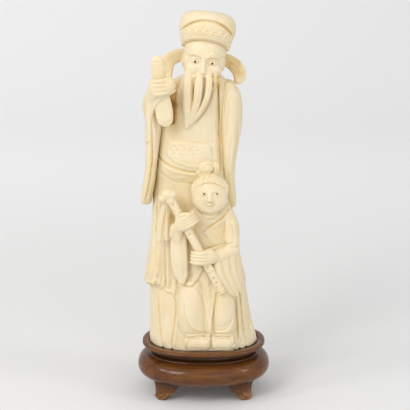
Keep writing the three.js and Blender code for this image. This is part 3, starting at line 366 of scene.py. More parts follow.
robeLook = {
    "step": 0.69,
    "block": ((-46, -30, -2), (42, 29, 195)),  # lowest and highest corner of the carving's grid
    # height, then the reach to the left, right, front and back
    "rows": [
        (0.0, 37.2, 37.2, 25.6, 24.0), (4.7, 37.6, 36.2, 24.6, 23.7), (16.5, 37.2, 32.9, 22.5, 22.5),
        (31.9, 37.0, 30.2, 20.5, 21.5), (44.8, 36.7, 28.3, 19.2, 20.7), (59.0, 36.3, 25.7, 18.1, 19.9),
        (73.2, 35.7, 23.4, 17.3, 19.1), (88.5, 35.4, 21.1, 16.8, 18.3), (103.8, 35.0, 19.0, 16.6, 17.5),
        (118, 33.8, 17.2, 16.6, 16.8), (126.2, 33.4, 15.4, 19.0, 16.8), (139.1, 32.1, 14.9, 18.6, 16.7),
        (152, 30.8, 13.6, 17.4, 15.8), (165.4, 29.2, 16.1, 16.3, 15.4), (177.6, 27.0, 17.7, 14.6, 14.3),
        (184, 24.6, 17.2, 12.4, 12.4), (187.8, 17.5, 14.0, 11.2, 11.2), (191, 9.2, 8.8, 7.6, 7.6),
    ],
    "power": 2.25,
    "height": 191,
    # the coat over the skirt: level of its hem on the left, how far it stands out, and how far up
    "coat": (44.0, 4.0, 50.0),
    # the belly swells up to the raised sleeve: x, z, reach across and up, height
    "belly": (-27.5, 147, 4.5, 15, 1.6),
    "back": {"foldDepth": 0.9, "foldTop": 118, "pleatDepth": 0.9, "hem": 44, "hemLift": 1.3,
             "girdle": (120.2, 127.4), "girdleMiddle": 123.8, "girdleDepth": 0.5},
    # deep cuts beside the beard and the raised sleeve
    "slots": [
        [(-19.8, -13, 193, 2.4, 7), (-20.4, -15, 176, 2.8, 7), (-21.4, -16, 160, 2.2, 5)],
        [(-31.4, -13, 160, 0.9, 5), (-32.4, -14, 140, 0.9, 5), (-35.4, -13, 118, 0.7, 4)],
        [(9.8, -13, 187, 0.5, 4.0), (10.4, -13, 164, 0.7, 4.4), (11.2, -14, 146, 0.8, 4.4),
         (11.8, -14, 126, 0.8, 4)],
        [(9.6, -14, 189, 1.4, 4), (10.0, -15, 182, 1.4, 4.5)],
    ],
    # crossed collars and the pull of the cloth
    "chest": [
        ([(-13.6, 191), (-16.2, 184.6), (-19.2, 177.6), (-21.8, 171.4)], 1.5, 0.75, "groove", 2),
        ([(-16.2, 190), (-18.8, 183.6), (-21.6, 177)], 0.7, 0.9, "ridge", 2),
        ([(-19.4, 160), (-19.0, 168), (-18.4, 173)], 0.8, 1.2, "fold"),
        ([(-17.9, 178.4), (-16.4, 173.6), (-13.6, 170.2), (-10, 168.4)], 0.6, 0.6),
        ([(-18.6, 175.2), (-17.0, 170.2), (-14.4, 167.0), (-11, 165.4)], 0.5, 0.6),
        ([(-19.2, 171.6), (-17.8, 167.2), (-15.8, 164.4)], 0.4, 0.6),
        ([(7.6, 189), (6.2, 180), (3.4, 171), (-2, 163), (-6, 158.5)], 0.8, 1.3, "fold", 4),
        ([(9.6, 182), (9.4, 171), (9.9, 157), (11, 141), (11.4, 128)], 0.95, 0.7),
        ([(7.2, 182), (6.8, 168), (7.6, 152), (9, 140)], 0.5, 0.9, "ridge", 8),
        ([(-30.4, 158), (-31.2, 140.7), (-33.4, 123.5), (-36.9, 109.5)], 1.5, 1.2),
    ],
    "bandOutline": [(-23.4, 147.2), (-12.4, 147.0), (-2.3, 146.6), (8.2, 144.8), (9.6, 139),
                    (10.6, 131.4), (2, 129.2), (-9, 129.6), (-19, 132.6), (-24.6, 137.4)],
    "bandHeight": 0.9,
    "band": [
        ([(-8.2, 146.2), (-3, 146.1), (3.8, 145.3)], 1.2, 0.6, "groove", 1),
        ([(-22, 147.4), (-15, 147.2), (-8.2, 146.4)], 0.4, 0.6),
        ([(4.6, 144.6), (6.0, 139.6), (7.0, 134.6)], 1.0, 0.6),
        ([(-21, 135.9), (-12.4, 132.6), (-3, 131.2), (5, 131.6)], 0.4, 0.6),
    ],
    # the relief of the belly band: rounded cloud heads, x, z, half width and half height
    "clouds": [
        (-22.0, 141.0, 1.3, 1.5), (-20.0, 143.6, 1.5, 1.1), (-17.9, 141.3, 1.6, 1.5),
        (-15.2, 144.0, 1.6, 1.2), (-13.1, 141.5, 1.8, 1.7), (-10.4, 144.1, 1.5, 1.1),
        (-8.5, 141.3, 1.6, 1.5), (-5.8, 143.4, 1.4, 1.1), (-4.2, 141.0, 1.5, 1.4),
        (-1.8, 142.2, 1.1, 1.0), (-19.8, 138.6, 1.6, 1.0), (-15.4, 138.4, 1.5, 1.1),
        (-10.8, 138.3, 1.7, 1.1), (-6.3, 138.5, 1.4, 0.9), (-2.4, 139.2, 1.2, 0.9),
    ],
    "cloudHeight": 0.4,
    "cloudRim": 0.14,
    "girdle": [
        ([(-32.6, 139.5), (-30.4, 135.4), (-25.9, 131.6), (-17.2, 128.1), (-7.1, 126.2),
          (3, 127.0)], 1.9, 1.0, "cut", 1),
        ([(-32.4, 136.4), (-26.4, 129.4), (-17.2, 126), (-7.1, 124.4), (3, 125)], 0.6, 1.0, "ridge", 1),
        ([(-31.4, 126.5), (-25, 121.5), (-19.3, 119.1), (-9.1, 117.9),
          (2, 118.4)], 0.5, 0.8, "groove", 2),
    ],
    "knot": (-14.5, 122.2),
    # the lifted hem of the coat in two lobes, closed outlines
    "lobes": [
        [(-50, 112), (-50, 46), (-39.6, 45.2), (-36.3, 44.2), (-33.8, 46.2), (-31.9, 51.3), (-31, 76),
         (-31, 112)],
        [(-33, 84), (-32.6, 47), (-31.4, 43.2), (-29.6, 42.2), (-27.9, 43.6), (-26.2, 41.6), (-24.5, 40.4),
         (-22.4, 40.6), (-20.6, 39.0), (-19.2, 41.4), (-18.2, 60), (-19, 84)],
    ],
    "lobeHeight": 1.5,
    "scallops": ((-37.4, 47.6), (-30.6, 45.0), (-24.4, 43.0)),
    # folds of the skirt: points across and up, height, width
    "folds": [
        ([(-31, 112), (-31.4, 84), (-31.6, 66), (-31.8, 52)], 1.8, 1.0),
        ([(-26.6, 108), (-26.2, 84), (-25.6, 62), (-25.6, 42)], 1.6, 1.0),
        ([(-35.0, 104), (-35.8, 84), (-36.6, 66), (-37.8, 50)], 0.8, 1.1),
        ([(-31.2, 39.4), (-30.2, 23.6), (-28.7, 5.8), (-28.2, 0)], 1.8, 1.0),
        ([(-20.2, 40), (-18.2, 32), (-19.8, 16.3), (-22.2, 0)], 1.9, 1.0),
        ([(22.6, 38), (23.4, 24), (24.8, 4)], 1.5, 1.0),
        ([(25.0, 44), (26.8, 24), (29.4, 3)], 1.2, 0.9),
        ([(26.4, 66), (28.6, 42), (31.4, 20), (34, 4)], 0.8, 1.3),
    ],
    # small chips at the hem: x and height
    "notches": ((-28.2, 2.2), (-21.8, 3.2), (24.8, 2.6), (29.6, 2.2)),
    # where the hem gives way behind the child's shoes
    "shoeRoom": {"across": (-3.4, 12.8), "radii": (9.4, 4.4, 10)},
    # the marrow hollow: half width, half depth, height
    "hollow": (12.5, 9.0, 12.4),
}


def carveRobe(look):
    block = makeBlock(*look["block"], look["step"])
    robe, angle = loft(block, look["rows"], look["power"], 1.4, (0, look["height"]), 1.2)
    ahead = ramp(block.y, -2.0, -8.0)
    behind = ramp(block.y, -9, 3)
    hemLevel, lift, reach = look["coat"]
    hem = hemLevel + 1.4 * np.sin(block.y * 0.42 + 0.6)
    coat = lift * np.clip(1 - (block.z - hemLevel) / reach, 0, 1.1) ** 1.3 * ramp(block.z - hem, -0.4, 0.5)
    robe -= coat * ramp(block.x, -25, -36) ** 0.8 * ramp(block.y, 14, 0)

    # behind: broad folds, pleats over them, the coat's hem and the girdle
    back = look["back"]
    low = np.clip(1 - block.z / back["foldTop"], 0, 1)
    robe -= back["foldDepth"] * low * (np.cos(13 * angle + 0.6) + 0.6 * np.cos(21 * angle + 1.9)) * behind
    sway = angle + 0.05 * np.sin(block.z / 17)
    pleats = np.abs(np.sin(sway * 9 + 0.4)) ** 0.6 + 0.6 * np.abs(np.sin(sway * 15.5 + 1.3)) ** 0.6
    robe -= back["pleatDepth"] * (pleats - 1.1) * ramp(block.z, 112, 30) * behind
    over = block.z - (back["hem"] + 2.6 * np.sin(angle * 6 + 0.5) + 1.6 * np.sin(angle * 11))
    robe -= back["hemLift"] * ramp(over, -0.5, 0.5) * np.exp(-np.maximum(over, 0) / 16) * behind
    robe += 0.5 * hump(over, -0.9, 0.9) * behind
    girdle = -back["girdleDepth"] * hump(block.z, back["girdleMiddle"], 3.2, 4)
    for edge in back["girdle"]:
        girdle = girdle + back["girdleDepth"] * hump(block.z, edge, 0.8)
    robe += girdle * ramp(block.y, -6, 2)

    x, z, across, up, height = look["belly"]
    robe -= height * hump(block.x, x, across) * hump(block.z, z, up) * ahead

    # the front is drawn on a plan and worked in; low down it stops where the sides turn away
    plan = newPlan(block)
    drawAll(plan, block, look["chest"])
    fill(plan, block, look["bandOutline"], look["bandHeight"], 0.5, 1)
    drawAll(plan, block, look["band"])
    for x, z, wide, tall in look["clouds"]:
        spot = ((block.u - x) / wide) ** 2 + ((block.v - z) / tall) ** 2
        plan -= look["cloudHeight"] * np.exp(-spot ** 2) - look["cloudRim"] * hump(np.sqrt(spot), 1.25, 0.3)
    drawAll(plan, block, look["girdle"])
    x, z = look["knot"]
    petals = [([(x + dx * 0.4, z + dz * 0.4), (x + dx, z + dz)], 0.6, 0.7, "ridge", 0)
              for dx, dz in ((-1.8, 0), (1.8, 0), (0, 1.6), (0, -1.6))]
    drawAll(plan, block, petals)
    for outline in look["lobes"]:
        lobe = newPlan(block)
        fill(lobe, block, outline, look["lobeHeight"], 0.45)
        plan += lobe * ramp(block.v, 84, 60)
    for x, z in look["scallops"]:
        scallop = [(x - 1.8, z + 7), (x - 1.6, z + 1.6), (x, z), (x + 1.8, z + 2.4), (x + 2.2, z + 8)]
        draw(plan, block, scallop, 1.0, 0.8, fade=2)
    for points, depth, width in look["folds"]:
        draw(plan, block, points, depth, width, "fold", fade=6)
    robe -= plan[:, None, :] * np.where(block.z < 118, ramp(block.y, -3.5, -8.5), ahead)

    for x, tall in look["notches"]:
        robe += 0.9 * hump(block.x, x, 0.5) * ramp(block.z, 5 + tall, 0) * ahead
    for slot in look["slots"]:
        robe = carve(robe, limb(block, slot), 1.2)
    for x in look["shoeRoom"]["across"]:
        robe = carve(robe, egg(block, (x, -26.4, 5), look["shoeRoom"]["radii"]), 1.0)
    wide, deep, tall = look["hollow"]
    hollow = (np.hypot(block.x / wide, block.y / deep) - 1) * deep
    hollow = np.maximum(hollow, block.z - tall)
    keep("scholar_robe", np.maximum(carve(robe, hollow, 0.4), -block.z).astype(np.float32), block)


sleeveLook = {
    "step": 0.5,
    # height, reach inwards, outwards, to the front and back
    "lowered": {
        "block": ((5, -18, 94), (31, 18, 189)),
        "rows": [
            (97.4, 16.2, 22.0, 3.4, 1.4), (101, 15.0, 22.6, 5.8, 3.4), (106, 14.4, 22.4, 7.8, 5.8),
            (115.3, 13.3, 21.3, 10.2, 8.5), (128.6, 11.7, 21.3, 12.4, 11.0),
            (141.8, 10.8, 23.4, 13.5, 12.5), (155.1, 9.8, 26.1, 13.9, 13.2), (168.4, 9.3, 26.6, 13.2, 12.8),
            (178.4, 10.1, 25.0, 11.3, 11.1), (185, 12.2, 19.2, 7.0, 7.0),
        ],
        "ends": (97.4, 185.4),
        "lines": [
            ([(12.4, 183), (11.6, 172), (12, 158), (13, 142), (13.2, 128)], 0.5, 0.9, "groove", 8),
            ([(22.6, 185), (18, 181.6), (15.2, 177.6), (14.0, 170), (13.8, 158)], 0.75, 0.7, "groove", 8),
            ([(19.8, 186), (16.2, 182), (13.4, 176), (12.4, 168)], 0.6, 0.6, "groove", 8),
            ([(24.2, 181), (19.6, 177), (16.6, 171), (15.4, 159), (15.4, 146)], 0.65, 0.7, "groove", 8),
            ([(24, 160), (23.4, 146), (21.4, 132), (19.6, 118)], 0.7, 1.5, "fold", 8),
            ([(20, 150), (18.4, 134), (17.8, 116)], 0.6, 1.4, "fold", 8),
            ([(16, 137), (16.4, 122), (17.6, 108)], 0.7, 1.1, "groove", 8),
        ],
    },
    # height, reach outwards, inwards, to the front and back
    "raised": {
        "block": ((-46, -32, 97), (-15, 12, 190)),
        "rows": [
            (101, 43.1, 7.0, 8, -1), (105, 43.4, 8.3, 10.9, 2), (116.8, 41.3, 8.4, 14.9, 4.6),
            (132.6, 39.7, 8.8, 18.1, 6.4), (148.4, 39.7, 10.6, 20.6, 7.8), (164.2, 39.3, 12, 22.5, 8.4),
            (175.3, 38.5, 11.8, 21, 8), (180, 34.9, 8.1, 16, 6),
        ],
        "ends": (100.6, 181),
        "arm": [(-33.5, -9, 166, 6.2, 6.2), (-33.0, -16, 172, 6.0, 5.6), (-30.4, -22.4, 178.4, 6.2, 5.0),
                (-28.4, -25, 182.4, 5.4, 4.2)],
        "shoulder": [(-24, 2, 182, 5, 5), (-31, 0, 178.5, 6.4, 6.4), (-34.5, -6, 171, 6.4, 6.4)],
        "cuff": [(-19.6, -22.4, 182.6, 1.5, 1.5), (-23.6, -26.4, 180.6, 1.5, 1.4),
                 (-29.2, -27.0, 177.0, 1.5, 1.5), (-33.6, -24.4, 170.4, 1.5, 1.6),
                 (-35.4, -20.2, 161.6, 1.4, 1.6), (-33.8, -16.6, 154, 1.2, 1.4)],
        "mouth": ((-27.4, -24, 164), (5.8, 6, 12.4)),
        "hemLift": 1.1,
        "lines": [
            ([(-37.6, 176), (-38.6, 166), (-37.2, 157), (-36.9, 150.4), (-41.6, 146.6)],
             1.2, 0.9, "step", 6),
            ([(-34.4, 166), (-34.2, 150), (-34.5, 134), (-36.2, 121), (-37.8, 112), (-40.0, 102)],
             1.3, 0.6, "groove", 6),
            ([(-40.2, 144), (-40.6, 128), (-41.4, 112)], 0.4, 1.0, "groove", 6),
            ([(-33.6, 144), (-34.4, 128), (-36.4, 114)], 0.4, 0.9, "groove", 6),
        ],
    },
}


def carveLoweredSleeve(look, step):
    block = makeBlock(*look["block"], step)
    rows = [(z, -inner, outer, front, back) for z, inner, outer, front, back in look["rows"]]
    sleeve, angle = loft(block, rows, 2.2, 2.4, look["ends"], 2.0)
    plan = newPlan(block)
    drawAll(plan, block, look["lines"])
    sleeve -= plan[:, None, :] * ramp(block.y, 0, -6)
    sleeve -= 0.35 * np.cos(angle * 9 + 0.6) * ramp(block.z, 175, 130) * ramp(block.y, -6, 2)
    keep("lowered_sleeve", sleeve, block)


def carveRaisedSleeve(look, step):
    block = makeBlock(*look["block"], step)
    rows = [(z, outer, inner - outer, front, back) for z, outer, inner, front, back in look["rows"]]
    sleeve, angle = loft(block, rows, 2.8, 2.0, look["ends"], 2.0)
    sleeve = blend(sleeve, limb(block, look["arm"], facing=(1, 0, 0)), 4.0)
    sleeve = blend(sleeve, limb(block, look["shoulder"], facing=(0, -1, 0.1)), 4.0)
    plan = newPlan(block)
    drawAll(plan, block, look["lines"])
    sleeve -= plan[:, None, :] * ramp(block.y, 2, -5)
    sleeve -= 0.3 * np.cos(angle * 10 + 0.6) * ramp(block.z, 172, 120) * ramp(block.y, -4, 3)
    # the slanting hem that the cloth falls away under
    under = 149 + 0.8 * (block.x + 35) - block.z
    fallen = ramp(under, 0, 0.7) * np.exp(-np.maximum(under, 0) / 9)
    sleeve += look["hemLift"] * fallen * ramp(block.x, -35.6, -37.4)
    cuff = limb(block, look["cuff"], facing=(0, -1, 0.1))
    keep("raised_sleeve", blend(carve(sleeve, egg(block, *look["mouth"]), 1.6), cuff, 0.9), block)


# the tablet and the hand that holds it

tabletLook = {
    "step": 0.3,
    "block": ((-38, -30.5, 158), (-18, -20.5, 209)),
    "grip": (-28.2, -25.6, 185.8),
    "gripShare": 0.43,
    "lean": 7.5,
    "length": 45,
    # share of the length from its upper end, half width, half thickness
    "stations": [(0, 2.0, 1.4), (0.07, 4.2, 2.1), (0.2, 4.7, 2.3), (0.42, 4.0, 2.3), (0.6, 5.2, 2.3),
                 (0.8, 5.8, 2.3), (0.94, 5.0, 2.1), (1, 2.9, 1.4)],
    # the groove round its front: inset, depth, width
    "border": (1.1, 0.45, 0.35),
}
gripPoint = np.array(tabletLook["grip"])
lean = math.radians(tabletLook["lean"])
tabletWay = np.array([-math.sin(lean), 0, math.cos(lean)])


def carveTablet(look):
    block = makeBlock(*look["block"], look["step"])
    inset, depth, width = look["border"]
    line, left, right = [], [], []
    for share, wide, thick in look["stations"]:
        spot = gripPoint + tabletWay * (look["gripShare"] - share) * look["length"]
        line.append((*spot, wide, thick))
        left.append(spot[[0, 2]] + (inset - wide, 0))
        right.append(spot[[0, 2]] + (wide - inset, 0))
    plan = newPlan(block)
    draw(plan, block, left[1:-1] + right[-2:0:-1], depth, width, closed=True, fade=0)
    tablet = limb(block, line, power=2.6)
    keep("held_tablet", tablet - plan[:, None, :] * ramp(block.y, -24.5, -26), block)


def fingers(block, centre, way, across, look):
    # four fingers side by side; their path gives points across the hand and forward, and radii
    made = None
    for f in range(4):
        middle = centre + way * (f - 1.5) * look["spacing"]
        line = [(*(middle + across * a + (0, y, 0)), r, r) for a, y, r in look["path"]]
        finger = limb(block, line, facing=way, steps=3)
        made = finger if made is None else blend(made, finger, look["parting"])
    return made


raisedHandLook = {
    "step": 0.25,
    "block": ((-38, -34, 172), (-16, -15, 196)),
    "spacing": 2.7,
    "parting": 0.15,
    "path": ((-6.6, -1.4, 1.725), (-2.64, -4.2, 1.575), (1.32, -4.9, 1.68), (4.18, -3.78, 1.5),
             (5.368, -0.84, 1.41)),
    "palm": ((-4.84, -1.96), (4.6, 4.2, 5.4)),
    "knuckles": ((-4.2, -1.8, 0.4), (3.6, 3.2, 5.6)),
    "wrist": [(-32.0, -21, 175.5, 4.2, 4.4), (-30.8, -25.4, 181.6, 5.0, 4.2),
              (-30.6, -26.6, 186, 4.4, 3.4)],
}


def carveRaisedHand(look):
    block = makeBlock(*look["block"], look["step"])
    centre = gripPoint + (0.6, 0, 0.4)
    across = np.cross((0, -1.0, 0), tabletWay)
    across = across / np.linalg.norm(across)
    (along, forward), radii = look["palm"]
    palm = egg(block, centre + across * along + (0, forward, 0), radii)
    hand = blend(fingers(block, centre, tabletWay, across, look), palm, 1.4)
    spot, radii = look["knuckles"]
    hand = blend(hand, egg(block, gripPoint + spot, radii), 1.0)
    keep("raised_hand", blend(hand, limb(block, look["wrist"], facing=(1, 0, 0.2)), 2.2), block)


# the scholar's head, carved upright about the top of its neck and then tilted

headLook = {
    "step": 0.28,
    "block": ((-17.5, -25, -40), (18, 14, 27)),
    "neckTop": (-1.0, 0, 191),
    "tilt": 7.0,
    "centre": (0, -3.6, 9.4),
    "half": (13.6, 14.4, 17.2),
    # eyelids, the socket's upper edge, creases beside the eye and the cheek, about the head's middle
    "lines": [
        ([(2.6, -0.5), (4.0, 0.9), (6.0, 1.4), (8.9, -0.2)], 0.55, 0.32, "groove", 0.6),
        ([(2.8, -0.7), (5.6, -1.5), (8.6, -0.5)], 0.34, 0.3, "groove", 0.6),
        ([(3.0, 2.5), (5.8, 3.4), (9.0, 2.0)], 0.22, 0.35, "groove", 0.8),
        ([(9.2, 0.2), (11.0, 0.9)], 0.16, 0.3, "groove", 0.6),
        ([(9.0, -0.9), (10.8, -1.6)], 0.16, 0.3, "groove", 0.6),
        ([(2.9, -4.8), (4.4, -6.4), (5.4, -8.2)], 0.3, 0.5, "groove", 0.8),
    ],
    "browHairs": 11,
    # strands of the beard, placed on the chest, and the grooves in each
    "beard": [
        ([(-9.4, -14.6, 195, 2.6, 1.8), (-10.6, -17.8, 187.5, 3.7, 2.9), (-10.6, -18.9, 176, 3.5, 2.8),
          (-10.6, -18.7, 166, 2.5, 2.3), (-11.6, -17.9, 156.6, 1.1, 1.2)], 4),
        ([(-2.2, -17.4, 194, 2.2, 2.0), (-3.2, -20.4, 185.5, 3.1, 2.8), (-4.4, -20.3, 175, 2.9, 2.6),
          (-7.4, -19.1, 165.5, 2.1, 1.9), (-11.0, -17.9, 157, 0.9, 1.1)], 3),
        ([(3.6, -16.8, 194.4, 1.9, 1.9), (3.6, -19.4, 187, 2.5, 2.3), (2.2, -19.7, 178, 2.2, 2.1),
          (-2.0, -19.1, 169, 1.8, 1.8), (-7.2, -18.3, 161.4, 1.4, 1.4),
          (-11.4, -17.7, 156.6, 0.7, 0.9)], 3),
        ([(7.6, -15.0, 193.6, 1.6, 1.6), (7.8, -17.0, 188.4, 1.3, 1.5), (7.2, -16.8, 183.8, 0.8, 0.9)], 2),
    ],
}
headPose = (turnY(headLook["tilt"]), np.array(headLook["neckTop"]))


def carveHead(look):
    block = makeBlock(*look["block"], look["step"])
    cy, cz = look["centre"][1:]
    hx, hy, hz = look["half"]
    both = mirrored(block)
    head = egg(block, (0, cy + 0.6, cz + 1), (hx, hy - 0.6, hz - 1))
    head = blend(head, egg(block, (0, cy - 3.4, cz - 8), (hx * 0.84, hy * 0.72, hz * 0.52)), 5)
    head = blend(head, egg(both, (7.2, cy - hy * 0.66, cz - 5.2), (4.8, 3.6, 4.2)), 2.6)
    crown = (np.hypot(block.x, block.y - cy - 0.8) / (hx + 0.2)) ** 3
    crown = crown + (np.abs(block.z - cz - 2.5) / 15.5) ** 3
    crown = (crown ** (1 / 3) - 1) * 13
    head = blend(head, np.maximum(crown, cz + 5 - block.z), 3.0)
    for side in (-1, 1):
        brow = limb(block, [(side * 2.6, cy - hy * 0.92, cz + 3.8, 0.9, 0.9),
                            (side * 5.8, cy - hy * 0.88, cz + 5.6, 1.2, 1.0),
                            (side * 9.6, cy - hy * 0.68, cz + 4.2, 0.8, 0.8)])
        head = blend(head, brow, 1.8)
    head = carve(head, egg(both, (5.7, cy - hy * 1.0, cz + 0.4), (3.5, 1.8, 2.2)), 2.4)
    head = blend(head, egg(both, (5.7, cy - hy * 0.745, cz), (3.3, 2.9, 1.9)), 0.6)
    nose = limb(block, [(0, cy - hy * 0.88, cz + 3.6, 1.2, 1.2), (0, cy - hy * 0.99, cz - 1.8, 1.5, 1.6),
                        (0, cy - hy * 1.05, cz - 6.0, 2.1, 1.8)])
    wings = egg(both, (2.0, cy - hy * 0.98, cz - 6.6), (1.5, 1.6, 1.2))
    head = blend(blend(head, nose, 1.8), wings, 0.8)
    ear = egg(both, (hx * 0.98, cy + 2.2, cz - 1.4), (1.6, 2.9, 5.0))
    ear = carve(ear, egg(both, (hx * 1.08, cy + 1.2, cz - 1.0), (1.2, 1.5, 3.2)), 0.6)
    head = blend(head, ear, 0.8)
    hair = egg(both, (hx * 0.86, cy - 3.4, cz - 0.6), (2.0, 3.6, 6.4))
    head = blend(head, hair + 0.12 * np.cos(block.z * 3.3 + block.y * 2.2), 0.9)
    neck = np.maximum(np.hypot(block.x, block.y - 0.6) - 7.6, np.abs(block.z - 3.0) - 8.0)
    head = blend(head, neck, 2.0)

    plan = newPlan(block)
    drawAll(plan, block, look["lines"], (-1, 1), up=cz)
    for n in range(look["browHairs"]):
        x, z = 2.2 + n * 0.8, cz + 3.6 + 1.9 * math.sin(min(n / 8, 1) * math.pi * 0.66)
        drawAll(plan, block, [([(x, z), (x + 1.3, z + 0.9 - n * 0.1)], 0.3, 0.26, "groove", 0.3)], (-1, 1))
    head -= plan[:, None, :] * ramp(block.y, cy - hy * 0.2, cy - hy * 0.55)

    # moustache and beard, whose strands meet in one tip on the chest
    for side in (-1, 1):
        tail = limb(block, [(side * 0.6, cy - hy * 1.0, cz - 8.4, 1.0, 1.0),
                            (side * 3.8, cy - hy * 0.99, cz - 9.2, 1.5, 1.4),
                            (side * 8.0, cy - hy * 0.84, cz - 11.6, 1.5, 1.3),
                            (side * 10.2, cy - hy * 0.72, cz - 16.0, 1.0, 1.0)],
                    grooves=3, grooveDepth=0.3)
        head = blend(head, tail, 0.4)
    head = blend(head, egg(block, (-0.8, -13.2, -5.6), (10.4, 5.2, 6.6)), 2.2)
    head = blend(head, egg(block, (-0.4, -7.6, -4.4), (9.6, 8.4, 8.6)), 2.0)
    head = head + 0.16 * np.cos(block.x * 2.7) * ramp(block.y, 2, 7) * ramp(block.z, -3, 3)
    for line, grooves in look["beard"]:
        stations = [(*fromPose(p[:3], headPose), p[3], p[4]) for p in line]
        head = blend(head, limb(block, stations, grooves=grooves, grooveDepth=0.32), 0.35)
    keep("scholar_head", head, block, headPose)


hatLook = {
    "step": 0.33,
    "block": ((-23, -22, -8), (23, 22, 31)),
    "sits": (0, -3.6, 15.592),  # on the head, in the head's own place
    "turn": (7.0, -12),
    # height and reach
    "rows": [(-3, 16.0), (0, 16.2), (4, 16.7), (8, 17.6), (12, 18.7), (15, 19.1), (26, 19.1)],
    "top": (14.0, 12.1),
    "rise": 1.8,
    "arch": 6.2,
    "backDrop": 6.0,
    # the groove under the rolled rim: height in front, drop to the sides, depth, and swell of the rim
    "groove": (18.8, 9.0, 0.9, 0.6),
    # two thin lines along the brow
    "bead": (0.7, 1.9),
    # a row of petals round the band: places across, height, and the height of the middle one
    "petals": (-21.0, -15.6, -10.4, -5.2, 0, 5.2, 10.4, 15.6, 21.0),
    "petalHeight": 4.2,
    "middleHeight": 5.0,
    "petalDepth": 0.6,
    # the band unrolled: radius, turn to each side, lowest and highest, steps round and up
    "band": (18.2, 1.6, 2, 16, 360, 140),
    "inside": ((0, 1.5, -3.5), (14.6, 14.2, 11.0)),
}
hatPose = (turnY(hatLook["turn"][0]) @ turnX(hatLook["turn"][1]), toPose(hatLook["sits"], headPose))


def hatBand(block, z, look):
    # the petals are drawn on the unrolled band, which is then laid round the hat
    radius, turn, low, high, around, up = look["band"]
    flat = SimpleNamespace(u=np.linspace(-turn, turn, around + 1)[:, None] * radius,
                           v=np.linspace(low, high, up + 1)[None, :])
    plan = np.zeros((around + 1, up + 1), np.float32)
    foot = 3.6
    for middle in look["petals"]:
        rise = look["petalHeight"] if middle else look["middleHeight"]
        side = foot + 0.6 * rise
        petal = [(-2.3, foot), (-2.0, side), (0, foot + rise), (2.0, side), (2.3, foot)]
        heart = [(-0.6, 4.4), (0, 5.6), (0.6, 4.4)]
        lines = [(petal, look["petalDepth"], 0.6, "ridge", 0.5), (heart, 0.45, 0.7, "ridge", 0.5)]
        drawAll(plan, flat, lines, across=middle)
    angle = np.arctan2(block.x, -block.y)
    column = np.clip(((angle + turn) / (2 * turn) * around).round().astype(int), 0, around)
    row = np.clip(((z - low) / (high - low) * up).round().astype(int), 0, up)
    return (plan[column + 0 * row, row + 0 * column] - 0.25) * ramp(np.abs(angle), 1.45, 1.2)


def carveHat(look):
    block = makeBlock(*look["block"], look["step"])
    ahead = np.clip(-block.y / 16.0, -1, 1)
    fade = np.clip(1 - block.z / 26.5, 0, 1.0)
    lift = look["rise"] + look["arch"] * np.clip(ahead, 0, 1) ** 1.3
    lift = lift - look["backDrop"] * np.clip(-ahead, 0, 1) ** 2
    z = block.z - lift * fade
    rows = np.array(look["rows"])
    fine = np.arange(-8, 36, 0.1)
    reach = np.interp(fine, rows[:, 0], rows[:, 1])
    kernel = np.exp(-0.5 * (np.arange(-30, 31) * 0.1 / 0.8) ** 2)
    reach = np.convolve(np.pad(reach, 30, mode="edge"), kernel / kernel.sum(), "valid")
    across = (np.abs(block.x) ** 2.1 + np.abs(block.y / 0.96) ** 2.1) ** (1 / 2.1)
    hat = (across - np.interp(block.z, fine, reach)) * 0.9
    start, height = look["top"]
    over = np.clip(block.z - start, 0, None) / height
    dome = (((across / rows[-1, 1]) ** 3 + over ** 3) ** (1 / 3) - 1) * 13
    hat = np.where(block.z > start, dome, hat)
    hat = -blend(-hat, z + 0 * hat, 0.5)
    for middle in look["bead"]:
        hat = hat + 0.5 * hump(z, middle, 0.3)
    front, drop, depth, swell = look["groove"]
    line = front - drop * np.clip(np.abs(block.x) / 19, 0, 1.1) ** 2.4
    line = np.where(block.y > 0, line - 2.0 * ramp(block.y, 0, 16), line)
    over = block.z - line
    sides = 1 - 0.9 * ramp(np.abs(block.x), 15, 18.6) * ramp(block.y, 12, 2)
    hat = hat - swell * sides * ramp(over, -0.6, 0.9) * np.exp(-np.maximum(over - 1.0, 0) / 6)
    hat = hat + depth * sides * hump(over, -0.7, 0.8)
    hat = hat - hatBand(block, z, look)
    keep("hat", carve(hat.astype(np.float32), egg(block, *look["inside"]), 0.5), block, hatPose)


wingLook = {
    "step": 0.33,
    "blocks": {"left": ((-34, 0, 178), (-3, 14, 209)), "right": ((4, 0, 174), (31, 14, 206))},
    "left": [(-4.0, 5.6, 203.4, 2.6, 1.9), (-8.4, 8.6, 202.6, 3.4, 1.9), (-14.7, 8.8, 201.6, 4.1, 1.9),
             (-20.9, 7.6, 199.6, 4.7, 1.9), (-24.9, 6.4, 196.0, 5.1, 1.9), (-25.8, 5.4, 190.8, 5.0, 1.8),
             (-24.6, 4.6, 186.6, 3.4, 1.7)],
    "right": [(5.6, 5.6, 201.0, 2.6, 1.9), (9.8, 8.6, 199.8, 3.4, 1.9), (14.7, 8.8, 198.4, 4.1, 1.9),
              (20.2, 7.6, 195.2, 4.7, 1.9), (23.8, 6.6, 191.0, 4.7, 1.9), (24.5, 5.8, 186.8, 4.1, 1.8),
              (22.8, 5.2, 183.8, 2.4, 1.7)],
    "sunk": 0.55,  # how deep the face lies inside its rim
}


def carveWings(look):
    for name, (low, high) in look["blocks"].items():
        block = makeBlock(low, high, look["step"])
        wing = limb(block, look[name], power=3.0, steps=6)
        line = [(s[0], s[2]) for s in look[name]]
        off, _, way, total = strokeField(block.u, block.v, line)
        edge = np.interp(way, np.linspace(0, total, len(line)), [s[3] for s in look[name]])
        plan = -look["sunk"] * ramp(edge - off, 0.9, 1.5) * ramp(total - way, 1.0, 2.5)
        keep("hat_wing_" + name, wing - plan[:, None, :] * ramp(np.abs(block.y - 7.4), 0.4, 1.0), block)


